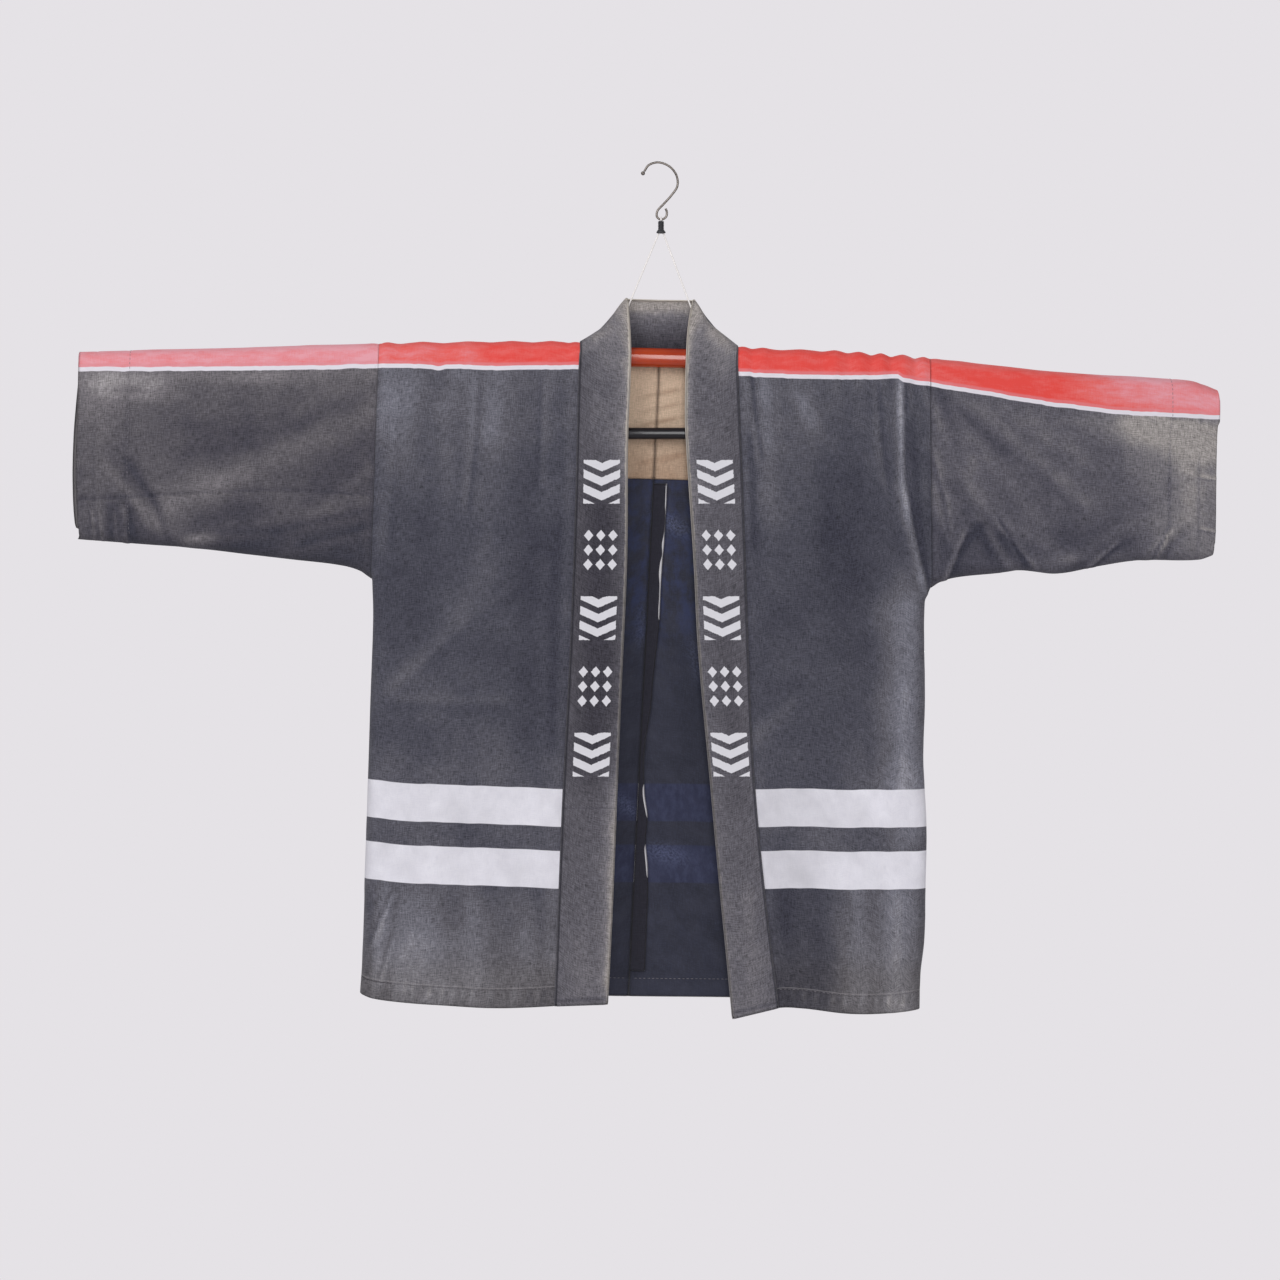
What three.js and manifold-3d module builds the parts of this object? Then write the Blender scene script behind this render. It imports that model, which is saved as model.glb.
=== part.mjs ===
// A Japanese fireman's short coat of indigo cotton, hung flat on a telescopic kimono hanger.
// Millimetres, +Z up. The coat's front faces -Y, and "left" and "right" are as seen from the front.
// The origin is the inner top of the hanger's hook, where the hook rests on whatever holds it.

import * as THREE from "three";
import { mergeVertices } from "three/addons/utils/BufferGeometryUtils.js";
import Module from "manifold-3d";

const wasm = await Module();
wasm.setup();

// Cloth
const WALL = 1.4;
const COLLAR_WALL = 2.6;
const LINING_WALL = 1.0;
const ALLOWANCE_WALL = 1.4;
const SEAM_GAP = 0.4;
const LAYER_GAP = 0.35;
const HEM_DEPTH = 23;
const HEM_EXTRA = 1.0;
const EDGE_FROM_MIDDLE = 0.2;

// How the cloth turns over the hanger, at the side seams and at the underarm seams
const ARC_HEIGHT = 12.5;
const SIDE_TURN = 16;
const UNDERARM_TURN = 13;
const FOLD_FADE = 40;
const MID_PANEL = 200;
const NEAR_ARMHOLE = 300;

// Collar
const NECK_SEAM = { left: -87.5, right: 85.5 };
const FAN_START = -240;
const COLLAR_CORNER = {
  left: { x: -35.2, z: -149.2, depth: 3.6 },
  right: { x: 34.6, z: -151.2, depth: 3.6 },
};
const COLLAR_TOP = { x: -0.5, depth: 8, z: -148.6 };

// How far the collar's fold over the shoulder sags below a straight line, from seam to free edge
const COLLAR_SAG = [
  { share: 0, left: 0, right: 0 },
  { share: 0.2, left: 3.4, right: 2.2 },
  { share: 0.45, left: 6.4, right: 5.2 },
  { share: 0.62, left: 4.6, right: 6.2 },
  { share: 0.8, left: 1.6, right: 2.4 },
  { share: 1, left: 0, right: 0 },
];
const COLLAR_SAG_FADE = 1.5;
const COLLAR_SAG_END = 4;

// Yoke lining and centre-back seam
const YOKE_BOTTOM_SHARE = 0.8;
const YOKE_WIDTH_SHARE = 0.8;
const BACK_SEAM = { top: { x: -0.3, z: -211 }, slope: 0.0487 };

// Hanger
const TUBE = { z: -214.6, radius: 10.75, bore: 9.7, half: 180, tilt: -0.027 };
const SLIDE = { radius: 8.4, bore: 7.0, tucked: 40, drop: 1.0 };
const ROD = { radius: 6.7, tucked: 30 };
const END_CAP = { radius: 7.4, length: 12 };
const ARMS = {
  left: { sign: -1, droop: 0.0166, joint: 370, end: 632 },
  right: { sign: 1, droop: 0.0717, joint: 365, end: 586 },
};
const OBI_BAR = { z: -298, radius: 6.5, half: 150, bevel: 3 };
const CORD = { radius: 0.75, hole: 1.8, sides: 8, spread: 2.6, bendAbove: 2, bendBelow: 4, bendShare: 0.05 };
const CORD_HOLE = { left: -53, right: 51 };
const KNOT = { radius: 2.6 };
// Control length of the cubic curve that draws a quarter circle, as a share of its radius
const QUARTER_CIRCLE_CONTROL = 0.5523;
const TOGGLE = { x: 1.2, top: -63.6, waist: -72.5, bottom: -77, radius: 3.3, flare: 5.2, rim: 1.4 };
const HOOK = { wire: 1.25, sides: 10, ball: 2.3, eyeBottom: -61.9 };

// Top edge of the cloth across both sleeves, outside of the fold
const SHOULDER = [
  { x: -645, z: -210 },
  { x: -560, z: -207 },
  { x: -440, z: -203 },
  { x: -319, z: -198.8 },
  { x: -198, z: -196.8 },
  { x: -88, z: -197 },
  { x: 88, z: -202 },
  { x: 110, z: -204.2 },
  { x: 154, z: -205.8 },
  { x: 198, z: -207.4 },
  { x: 242, z: -211 },
  { x: 297, z: -215 },
  { x: 374, z: -223 },
  { x: 462, z: -231.6 },
  { x: 550, z: -236.8 },
  { x: 585, z: -239.5 },
  { x: 600, z: -244 },
  { x: 615, z: -250 },
];

const UNDERARM = {
  left: [
    { x: -645, z: -414 },
    { x: -539, z: -424 },
    { x: -473, z: -434 },
    { x: -407, z: -440.6 },
    { x: -341, z: -451.6 },
    { x: -328, z: -453.5 },
    { x: -318, z: -458 },
  ],
  right: [
    { x: 299, z: -468 },
    { x: 310, z: -461 },
    { x: 330, z: -456 },
    { x: 374, z: -451.6 },
    { x: 396, z: -448.5 },
    { x: 440, z: -452 },
    { x: 484, z: -444 },
    { x: 528, z: -437.5 },
    { x: 594, z: -437 },
    { x: 615, z: -430 },
  ],
};

// The armhole seam is straight; below it the side seam closes front and back
const ARMHOLE = {
  left: { top: { x: -309, z: -198 }, bottom: { x: -318, z: -458 } },
  right: { top: { x: 297, z: -215 }, bottom: { x: 299, z: -468 } },
};

const SIDE_SEAM = {
  left: [
    { z: -460, x: -318 },
    { z: -500, x: -317 },
    { z: -592, x: -320 },
    { z: -735, x: -324.5 },
    { z: -878, x: -329 },
    { z: -914, x: -331.5 },
  ],
  right: [
    { z: -470, x: 298 },
    { z: -484, x: 290.5 },
    { z: -592, x: 290 },
    { z: -658, x: 286.5 },
    { z: -735, x: 289 },
    { z: -856, x: 288 },
    { z: -905, x: 282 },
    { z: -933, x: 283 },
  ],
};

const CUFF = {
  left: { front: -639.5, back: -644.5 },
  right: { front: 614, back: 611.5 },
};

const COLLAR_SEAM = {
  left: [
    { z: -198, x: -87.5 },
    { z: -232, x: -89 },
    { z: -372, x: -92.4 },
    { z: -526, x: -97.9 },
    { z: -702, x: -106.7 },
    { z: -927, x: -115.5 },
  ],
  right: [
    { z: -202, x: 85.5 },
    { z: -232, x: 85.5 },
    { z: -372, x: 91.3 },
    { z: -592, x: 99.5 },
    { z: -757, x: 112 },
    { z: -929, x: 131 },
  ],
};

const COLLAR_FREE = {
  left: [
    { z: -153, x: -34 },
    { z: -207, x: -32 },
    { z: -306, x: -36.3 },
    { z: -438, x: -37.4 },
    { z: -592, x: -44 },
    { z: -812, x: -52.8 },
    { z: -926, x: -58.3 },
  ],
  right: [
    { z: -155, x: 34 },
    { z: -207, x: 33 },
    { z: -295, x: 29.7 },
    { z: -438, x: 38.5 },
    { z: -537, x: 44 },
    { z: -702, x: 60.5 },
    { z: -812, x: 71.5 },
    { z: -942, x: 80.3 },
  ],
};

const FRONT_HEM = {
  left: [
    { x: -332, z: -912 },
    { x: -319, z: -918 },
    { x: -297, z: -922 },
    { x: -242, z: -926.5 },
    { x: -176, z: -930 },
    { x: -115, z: -927.5 },
    { x: -58, z: -926 },
  ],
  right: [
    { x: 80, z: -942 },
    { x: 99, z: -938.5 },
    { x: 131, z: -929.5 },
    { x: 154, z: -930 },
    { x: 209, z: -936 },
    { x: 253, z: -935 },
    { x: 283, z: -932 },
  ],
};

const BACK_HEM = [
  { x: -332, z: -911 },
  { x: -180, z: -916 },
  { x: -58, z: -917 },
  { x: 80, z: -920 },
  { x: 200, z: -923 },
  { x: 283, z: -926 },
];

// Half depth of the hanging cloth, from the middle plane to each layer
const LAYER_DEPTH = [
  { z: -940, front: 20, back: 17 },
  { z: -700, front: 18, back: 16.5 },
  { z: -450, front: 16, back: 15.5 },
  { z: -260, front: 14.8, back: 14.6 },
  { z: -190, front: 14.5, back: 14.5 },
];

// The collar's free edge closes in towards the fold at the corner of the neck
const FREE_EDGE_DEPTH = [
  { z: -226, depth: 15.2 },
  { z: -206, depth: 13.2 },
  { z: -186, depth: 9.5 },
  { z: -166, depth: 6 },
  { z: -153, depth: 3.6 },
];

// Largest folds: a ridge stands out from the layer and a trough lies in, along a line in the cloth
const FOLDS = {
  front: [
    { name: "ridge inside left armhole", x0: -294, z0: -229, x1: -302, z1: -400, width: 16, height: 2.5 },
    { name: "trough on left front", x0: -256, z0: -240, x1: -253, z1: -530, width: 24, height: -3 },
    { name: "ridge on left front", x0: -170, z0: -229, x1: -198, z1: -600, width: 26, height: 3 },
    { name: "trough by left lapel", x0: -138, z0: -290, x1: -146, z1: -680, width: 18, height: -2.5 },
    { name: "ridge at left hem", x0: -242, z0: -770, x1: -270, z1: -925, width: 24, height: 3 },
    { name: "trough at left hem", x0: -176, z0: -790, x1: -170, z1: -930, width: 22, height: -2.5 },
    { name: "ridge inside right armhole", x0: 269, z0: -225, x1: 277, z1: -440, width: 14, height: 3 },
    { name: "trough on right front", x0: 203, z0: -290, x1: 209, z1: -600, width: 30, height: -3 },
    { name: "ridge on right side", x0: 266, z0: -500, x1: 262, z1: -680, width: 20, height: 2.5 },
    { name: "trough at right hem", x0: 170, z0: -800, x1: 165, z1: -930, width: 24, height: -3 },
    { name: "ridge at right hem", x0: 234, z0: -780, x1: 246, z1: -930, width: 20, height: 3 },
    { name: "ridge across left sleeve", x0: -530, z0: -383, x1: -321, z1: -268, width: 20, height: 3.5 },
    { name: "trough across left sleeve", x0: -500, z0: -320, x1: -330, z1: -246, width: 20, height: -2.5 },
    { name: "ridge across right sleeve", x0: 330, z0: -268, x1: 473, z1: -378, width: 20, height: 3 },
    { name: "trough at right underarm", x0: 312, z0: -300, x1: 385, z1: -430, width: 18, height: -3 },
  ],
  back: [
    { name: "ridge on left back", x0: -210, z0: -260, x1: -230, z1: -640, width: 30, height: 3 },
    { name: "trough on left back", x0: -110, z0: -420, x1: -120, z1: -900, width: 30, height: -2.5 },
    { name: "ridge on right back", x0: 190, z0: -300, x1: 205, z1: -700, width: 28, height: 3 },
    { name: "trough on right back", x0: 100, z0: -560, x1: 110, z1: -910, width: 30, height: -2.5 },
    { name: "ridge behind left sleeve", x0: -520, z0: -370, x1: -325, z1: -262, width: 22, height: 3 },
    { name: "ridge behind right sleeve", x0: 325, z0: -275, x1: 480, z1: -385, width: 22, height: 3 },
  ],
};

// Width of the pressed seam allowance down the centre of the back
const ALLOWANCE_WIDTH = [
  { z: -893, width: 15 },
  { z: -812, width: 13 },
  { z: -735, width: 9 },
  { z: -600, width: 10 },
  { z: -494, width: 13 },
  { z: -352, width: 15 },
];

// Shares of the length and of the width at which the cloth's sections are taken
const BODY_LENGTH = 720;
const HEM_SHARE = HEM_DEPTH / BODY_LENGTH;
const HEM_STEP = 0.002;
const LENGTH_SHARES = [0, HEM_SHARE, HEM_SHARE + HEM_STEP, 0.11, 0.19, 0.27, 0.35, 0.43, 0.51, 0.59, 0.66, 0.73,
  YOKE_BOTTOM_SHARE, 0.86, 0.91, 0.96, 1];
const WIDTH_SHARES = [0, 0.1, 0.2, 0.3, 0.4, 0.5, 0.6, 0.7, 0.8, 0.87, 0.93, 0.955, 0.98, 1];
const SLEEVE_WIDTH_SHARES = [0, 0.06, 0.13, 0.21, 0.3, 0.4, 0.5, 0.6, 0.7, 0.8, 0.9, 1];
const SLEEVE_HEIGHT_SHARES = [0, 0.14, 0.28, 0.42, 0.56, 0.7, 0.85, 1];
const ARC_ANGLES = [22.5, 45, 67.5, 90, 112.5, 135, 157.5].map(THREE.MathUtils.degToRad);
const TURN_ANGLES = [0, 30, 60].map(THREE.MathUtils.degToRad);
const COLLAR_LENGTH_SHARES = [...LENGTH_SHARES.slice(0, -1), 0.97, 0.98, 0.99, 1];
const COLLAR_SHARES = [0, 0.22, 0.42, 0.6, 0.8, 1];
const COLLAR_FOLD_SHARES = [0.2, 0.4, 0.6, 0.8, 1];
const COLLAR_BACK_SHARES = [0.25, 0.5, 0.75, 1];

// Smooth curve through one column of a table, held level beyond its ends
function readTable(rows, key, column, at) {
  const sorted = [...rows].sort((a, b) => a[key] - b[key]);
  const last = sorted.length - 1;
  if (at <= sorted[0][key]) return sorted[0][column];
  if (at >= sorted[last][key]) return sorted[last][column];
  let i = 0;
  while (sorted[i + 1][key] < at) i += 1;
  const slope = (from, to) => (
    (sorted[to][column] - sorted[from][column]) / (sorted[to][key] - sorted[from][key])
  );
  const span = sorted[i + 1][key] - sorted[i][key];
  const slopeStart = slope(Math.max(i - 1, 0), i + 1) * span;
  const slopeEnd = slope(i, Math.min(i + 2, last)) * span;
  const t = (at - sorted[i][key]) / span;
  const start = sorted[i][column];
  const end = sorted[i + 1][column];
  return start * (2 * t ** 3 - 3 * t ** 2 + 1) + slopeStart * (t ** 3 - 2 * t ** 2 + t)
    + end * (3 * t ** 2 - 2 * t ** 3) + slopeEnd * (t ** 3 - t ** 2);
}

const mix = (from, to, share) => from + (to - from) * share;
const clamp = (value) => Math.min(1, Math.max(0, value));

// Quarter ellipse: 0 at the edge, 1 where the turn ends
const turn = (share) => Math.sqrt(1 - (1 - clamp(share)) ** 2);

// How far the folds move a layer out at a point of the cloth
function foldHeight(layer, x, z) {
  return FOLDS[layer].reduce((sum, fold) => {
    const dx = fold.x1 - fold.x0;
    const dz = fold.z1 - fold.z0;
    const length = Math.hypot(dx, dz);
    const along = ((x - fold.x0) * dx + (z - fold.z0) * dz) / length;
    const across = ((x - fold.x0) * dz - (z - fold.z0) * dx) / length;
    const beyond = Math.max(0, -along, along - length);
    const softness = 2 * fold.width;
    return sum + fold.height * Math.exp(-((across / fold.width) ** 2) - (beyond / softness) ** 2);
  }, 0);
}

// Folds fade out where the cloth lies on the hanger
function layerDepth(layer, x, z) {
  const belowHanger = clamp((arcBase(x) - z) / FOLD_FADE);
  return readTable(LAYER_DEPTH, "z", layer, z) + foldHeight(layer, x, z) * belowHanger;
}

const shoulderMiddle = (x) => readTable(SHOULDER, "x", "z", x) - WALL / 2;
const arcBase = (x) => shoulderMiddle(x) - ARC_HEIGHT;

// Point of the cloth's middle surface where it turns over the hanger, from front at 0 to back at PI
function arcPoint(x, angle) {
  const layer = angle < Math.PI / 2 ? "front" : "back";
  const depth = layerDepth(layer, x, arcBase(x));
  return new THREE.Vector3(x, -depth * Math.cos(angle), arcBase(x) + ARC_HEIGHT * Math.sin(angle));
}

const outward = { front: -1, back: 1 };

// The armhole edge follows the sleeve's section, closing at the underarm
function edgeDepth(side, layer, x, z) {
  const pit = ARMHOLE[side].bottom.z;
  const open = turn((z - pit) / UNDERARM_TURN);
  const depth = layerDepth(layer, x, z);
  return EDGE_FROM_MIDDLE + (depth - EDGE_FROM_MIDDLE) * open;
}

// The depth of a body panel, which turns in to the middle plane at its side seam
function panelDepth(side, layer, x, z, fromEdge) {
  const edge = edgeDepth(side, layer, x, z);
  return edge + (layerDepth(layer, x, z) - edge) * turn(fromEdge / SIDE_TURN);
}

function armholeX(side, z) {
  const { top, bottom } = ARMHOLE[side];
  return mix(top.x, bottom.x, (z - top.z) / (bottom.z - top.z));
}

// Outer edge of a body panel; the wall turns square to the side below the armhole, so it steps in
function panelOuterX(side, z) {
  const pit = ARMHOLE[side].bottom.z;
  const line = z >= pit ? armholeX(side, z) : readTable(SIDE_SEAM[side], "z", "x", z);
  const stepIn = SEAM_GAP / 2 + (WALL / 2) * (1 - turn((z - pit) / UNDERARM_TURN));
  return line - ARMS[side].sign * stepIn;
}

const backSeamX = (z) => BACK_SEAM.top.x + (z - BACK_SEAM.top.z) * BACK_SEAM.slope;

// Middle surface of a body panel: one length from the front hem over the shoulder to the back hem
function bodyPanelRows(side) {
  const sign = ARMS[side].sign;
  const seam = (sign * SEAM_GAP) / 2;
  const hemTable = { front: FRONT_HEM[side], back: BACK_HEM };
  const innerX = {
    front: (z) => readTable(COLLAR_SEAM[side], "z", "x", z) + seam,
    back: (z) => backSeamX(z) + seam,
  };
  const flatRow = (layer, share) => WIDTH_SHARES.map((across) => {
    const hemGuess = readTable(hemTable[layer], "x", "z", sign * MID_PANEL);
    const zGuess = mix(hemGuess, arcBase(sign * MID_PANEL), share);
    const xGuess = mix(innerX[layer](zGuess), panelOuterX(side, zGuess), across);
    const z = mix(readTable(hemTable[layer], "x", "z", xGuess), arcBase(xGuess), share);
    const inner = innerX[layer](z);
    const outer = panelOuterX(side, z);
    const x = mix(inner, outer, across);
    const depth = panelDepth(side, layer, x, z, Math.abs(outer - x));
    return new THREE.Vector3(x, outward[layer] * depth, z);
  });
  const arcRow = (angle) => WIDTH_SHARES.map((across) => {
    const outer = armholeX(side, arcBase(sign * NEAR_ARMHOLE)) - seam;
    return arcPoint(mix(NECK_SEAM[side] + seam, outer, across), angle);
  });
  return [
    ...LENGTH_SHARES.map((share) => flatRow("front", share)),
    ...ARC_ANGLES.map(arcRow),
    ...[...LENGTH_SHARES].reverse().map((share) => flatRow("back", share)),
  ];
}

// Middle surface of a sleeve: a tube folded at the top and closed by its underarm seam
function sleeveRows(side) {
  const sign = ARMS[side].sign;
  const gap = (sign * SEAM_GAP) / 2;
  const bottomAt = (x) => readTable(UNDERARM[side], "x", "z", x);
  const xAt = (layer, across, z) => mix(armholeX(side, z) + gap, CUFF[side][layer], across);
  const turnRow = (layer, angle) => SLEEVE_WIDTH_SHARES.map((across) => {
    const x = xAt(layer, across, bottomAt(xAt(layer, across, ARMHOLE[side].bottom.z)));
    const z = bottomAt(x) + UNDERARM_TURN * (1 - Math.cos(angle));
    const depth = mix(EDGE_FROM_MIDDLE, layerDepth(layer, x, z), Math.sin(angle));
    return new THREE.Vector3(x, outward[layer] * depth, z);
  });
  const flatRow = (layer, share) => SLEEVE_WIDTH_SHARES.map((across) => {
    const xGuess = xAt(layer, across, mix(ARMHOLE[side].bottom.z, ARMHOLE[side].top.z, share));
    const z = mix(bottomAt(xGuess) + UNDERARM_TURN, arcBase(xGuess), share);
    const x = xAt(layer, across, z);
    return new THREE.Vector3(x, outward[layer] * layerDepth(layer, x, z), z);
  });
  const arcRow = (angle) => SLEEVE_WIDTH_SHARES.map((across) => {
    const cuff = mix(CUFF[side].front, CUFF[side].back, angle / Math.PI);
    return arcPoint(mix(armholeX(side, arcBase(sign * NEAR_ARMHOLE)) + gap, cuff, across), angle);
  });
  return [
    ...TURN_ANGLES.map((angle) => turnRow("front", angle)),
    ...SLEEVE_HEIGHT_SHARES.map((share) => flatRow("front", share)),
    ...ARC_ANGLES.map(arcRow),
    ...[...SLEEVE_HEIGHT_SHARES].reverse().map((share) => flatRow("back", share)),
    ...[...TURN_ANGLES].reverse().map((angle) => turnRow("back", angle)),
  ];
}

// One half of the collar's middle surface, from the lapel's bottom to the centre of the neck
function collarHalfRows(side) {
  const sign = ARMS[side].sign;
  const rise = (COLLAR_WALL - WALL) / 2;
  const corner = COLLAR_CORNER[side];
  const seamX = (z) => readTable(COLLAR_SEAM[side], "z", "x", z) - sign * SEAM_GAP;
  const seamHem = readTable(FRONT_HEM[side], "x", "z", COLLAR_SEAM[side].at(-1).x);
  const freeHem = COLLAR_FREE[side].at(-1).z;
  const seamTop = arcBase(NECK_SEAM[side]);
  const sag = (share) => {
    const reach = readTable(COLLAR_SAG, "share", side, share) * Math.SQRT1_2;
    return new THREE.Vector3(-sign * reach, 0, -reach);
  };
  const between = (seam, free, sagShare = 0) => COLLAR_SHARES.map((share) => (
    new THREE.Vector3().lerpVectors(seam, free, share).addScaledVector(sag(share), sagShare)
  ));

  const frontRow = (lengthShare) => {
    const seamZ = mix(seamHem, seamTop, lengthShare);
    const freeZ = seamZ < FAN_START
      ? mix(freeHem, FAN_START, (seamZ - seamHem) / (FAN_START - seamHem))
      : mix(FAN_START, corner.z - corner.depth, (seamZ - FAN_START) / (seamTop - FAN_START));
    const freeX = readTable(COLLAR_FREE[side], "z", "x", freeZ);
    const nearFold = clamp((seamZ - FAN_START) / (seamTop - FAN_START)) ** COLLAR_SAG_FADE;
    return COLLAR_SHARES.map((share) => {
      const x = mix(seamX(seamZ), freeX, share);
      const z = mix(seamZ, freeZ, share);
      const resting = layerDepth("front", x, Math.min(z, seamTop)) + rise;
      const freeDepth = Math.min(resting, readTable(FREE_EDGE_DEPTH, "z", "depth", freeZ));
      return new THREE.Vector3(x, -mix(resting, freeDepth, share), z).addScaledVector(sag(share), nearFold);
    });
  };
  const seamArc = (angle) => {
    const point = arcPoint(NECK_SEAM[side] - sign * SEAM_GAP, angle);
    return point.add(new THREE.Vector3(0, -rise * Math.cos(angle), rise * Math.sin(angle)));
  };
  const freeArc = (angle) => new THREE.Vector3(
    corner.x - sign * corner.depth * (1 - Math.sin(angle)) * Math.SQRT1_2,
    -corner.depth * Math.cos(angle),
    corner.z - corner.depth * (1 - Math.sin(angle)) * Math.SQRT1_2,
  );
  const foldRow = (share) => (
    between(seamArc(ARC_ANGLES.at(-1) * share), freeArc(Math.PI * share), 1 - share ** COLLAR_SAG_END)
  );
  const backRow = (share) => {
    const baseZ = arcBase(0);
    const seamDepth = layerDepth("back", 0, baseZ) + rise;
    const seamEnd = new THREE.Vector3(backSeamX(baseZ), seamDepth, baseZ + SEAM_GAP);
    const freeEnd = new THREE.Vector3(COLLAR_TOP.x, COLLAR_TOP.depth, COLLAR_TOP.z);
    const seamStart = seamArc(ARC_ANGLES.at(-1)).add(new THREE.Vector3(0, 0, SEAM_GAP));
    return between(
      new THREE.Vector3().lerpVectors(seamStart, seamEnd, share),
      new THREE.Vector3().lerpVectors(freeArc(Math.PI), freeEnd, share),
    );
  };
  return [
    ...COLLAR_LENGTH_SHARES.map(frontRow),
    ...COLLAR_FOLD_SHARES.map(foldRow),
    ...COLLAR_BACK_SHARES.map(backRow),
  ];
}

// The whole collar is one strip: up one lapel, round the back of the neck and down the other
function collarRows() {
  const left = collarHalfRows("left");
  const right = collarHalfRows("right").reverse().slice(1);
  return [...left, ...right];
}

// Rows of a body panel's back, from the neck seam down to the hem
const backRows = (side) => bodyPanelRows(side).slice(LENGTH_SHARES.length + ARC_ANGLES.length);

// A layer inside the back lies on the panel's own points, moved in by the walls and the gap
function movedIn(rows, wall) {
  const inset = WALL / 2 + LAYER_GAP + wall / 2;
  return rows.map((row, i) => row.map((point, j) => {
    const normal = sheetTangent(rows, i, j, true).cross(sheetTangent(rows, i, j, false)).normalize();
    return point.clone().addScaledVector(normal, -inset * Math.sign(normal.y));
  }));
}

function yokeLiningRows(side) {
  const rowCount = LENGTH_SHARES.filter((share) => share >= YOKE_BOTTOM_SHARE).length;
  const columnCount = WIDTH_SHARES.filter((share) => share <= YOKE_WIDTH_SHARE).length;
  const rows = backRows(side).slice(0, rowCount).map((row) => row.slice(0, columnCount));
  return movedIn(rows, LINING_WALL);
}

// The pressed seam allowance lies on the right back panel, from the yoke lining down to the hem
function seamAllowanceRows() {
  const top = ALLOWANCE_WIDTH.at(-1).z;
  const bottom = ALLOWANCE_WIDTH[0].z;
  const isKept = ([{ z }]) => z < top + LAYER_GAP && z > bottom - ALLOWANCE_WALL;
  const rows = backRows("right").filter(isKept);
  const narrowed = rows.map(([first, second]) => [0, 0.5, 1].map((share) => {
    const width = readTable(ALLOWANCE_WIDTH, "z", "width", first.z);
    return new THREE.Vector3().lerpVectors(first, second, (share * width) / first.distanceTo(second));
  }));
  return movedIn(narrowed, ALLOWANCE_WALL);
}

// Direction of the sheet at one of its points; an edge on the middle plane meets it squarely
function sheetTangent(rows, i, j, alongRows) {
  const count = alongRows ? rows.length : rows[0].length;
  const at = alongRows ? i : j;
  const pick = (k) => (alongRows ? rows[k][j] : rows[i][k]);
  const before = pick(Math.max(at - 1, 0));
  const after = pick(Math.min(at + 1, count - 1));
  const tangent = after.clone().sub(before).normalize();
  const isEdge = at === 0 || at === count - 1;
  const onMiddle = Math.abs(rows[i][j].y) < EDGE_FROM_MIDDLE + 0.01;
  if (isEdge && onMiddle) tangent.set(0, Math.sign(tangent.y), 0);
  return tangent;
}

// Closed wall on both sides of a grid of points; extraInside(i) thickens its inner face at a row
function clothWall(rows, wall, extraInside = () => 0) {
  const rowCount = rows.length;
  const columnCount = rows[0].length;
  const positions = [];
  const push = (point) => positions.push(point.x, point.y, point.z);
  const faces = [rows, rows].map((grid, face) => grid.map((row, i) => row.map((point, j) => {
    const normal = sheetTangent(rows, i, j, true).cross(sheetTangent(rows, i, j, false)).normalize();
    const reach = face === 0 ? wall / 2 : -wall / 2 - extraInside(i);
    push(point.clone().addScaledVector(normal, reach));
    return positions.length / 3 - 1;
  })));
  const indices = [];
  const quad = (a, b, c, d) => indices.push(a, b, c, a, c, d);
  const [outer, inner] = faces;
  for (let i = 0; i < rowCount - 1; i += 1) {
    for (let j = 0; j < columnCount - 1; j += 1) {
      quad(outer[i][j], outer[i + 1][j], outer[i + 1][j + 1], outer[i][j + 1]);
      quad(inner[i][j], inner[i][j + 1], inner[i + 1][j + 1], inner[i + 1][j]);
    }
    quad(outer[i][0], inner[i][0], inner[i + 1][0], outer[i + 1][0]);
    const end = columnCount - 1;
    quad(outer[i][end], outer[i + 1][end], inner[i + 1][end], inner[i][end]);
  }
  for (let j = 0; j < columnCount - 1; j += 1) {
    const end = rowCount - 1;
    quad(outer[0][j], outer[0][j + 1], inner[0][j + 1], inner[0][j]);
    quad(outer[end][j], inner[end][j], inner[end][j + 1], outer[end][j + 1]);
  }
  return facingOut(positions, indices);
}

// Geometry from closed faces, turned so that they enclose a positive volume
function facingOut(positions, indices) {
  const vertex = (k) => new THREE.Vector3().fromArray(positions, 3 * k);
  let volume = 0;
  for (let k = 0; k < indices.length; k += 3) {
    volume += vertex(indices[k]).dot(vertex(indices[k + 1]).cross(vertex(indices[k + 2])));
  }
  const ordered = [...indices];
  if (volume < 0) ordered.reverse();
  const geometry = new THREE.BufferGeometry();
  geometry.setAttribute("position", new THREE.Float32BufferAttribute(positions, 3));
  geometry.setIndex(ordered);
  geometry.computeVertexNormals();
  return geometry;
}

// Turned piece about the X axis, from a closed outline of axial place and radius
function turnedAlongX(outline, segments = 24) {
  const points = outline.map(({ along, radius }) => new THREE.Vector2(radius, along));
  const geometry = new THREE.LatheGeometry(points, segments);
  geometry.rotateZ(-Math.PI / 2);
  return bareGeometry(geometry);
}

function bareGeometry(geometry) {
  geometry.deleteAttribute("normal");
  geometry.deleteAttribute("uv");
  const merged = mergeVertices(geometry, 1e-4);
  return facingOut([...merged.getAttribute("position").array], [...merged.getIndex().array]);
}

const hollowOutline = (from, to, radius, bore) => [
  { along: from, radius: bore },
  { along: from, radius },
  { along: to, radius },
  { along: to, radius: bore },
  { along: from, radius: bore },
];

function toManifold(geometry) {
  return new wasm.Manifold(new wasm.Mesh({
    numProp: 3,
    vertProperties: Float32Array.from(geometry.getAttribute("position").array),
    triVerts: Uint32Array.from(geometry.getIndex().array),
  }));
}

function drill(geometry, drills) {
  let solid = toManifold(geometry);
  drills.forEach((tool) => {
    solid = solid.subtract(toManifold(bareGeometry(tool)));
  });
  const mesh = solid.getMesh();
  return facingOut([...mesh.vertProperties], [...mesh.triVerts]);
}

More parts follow.
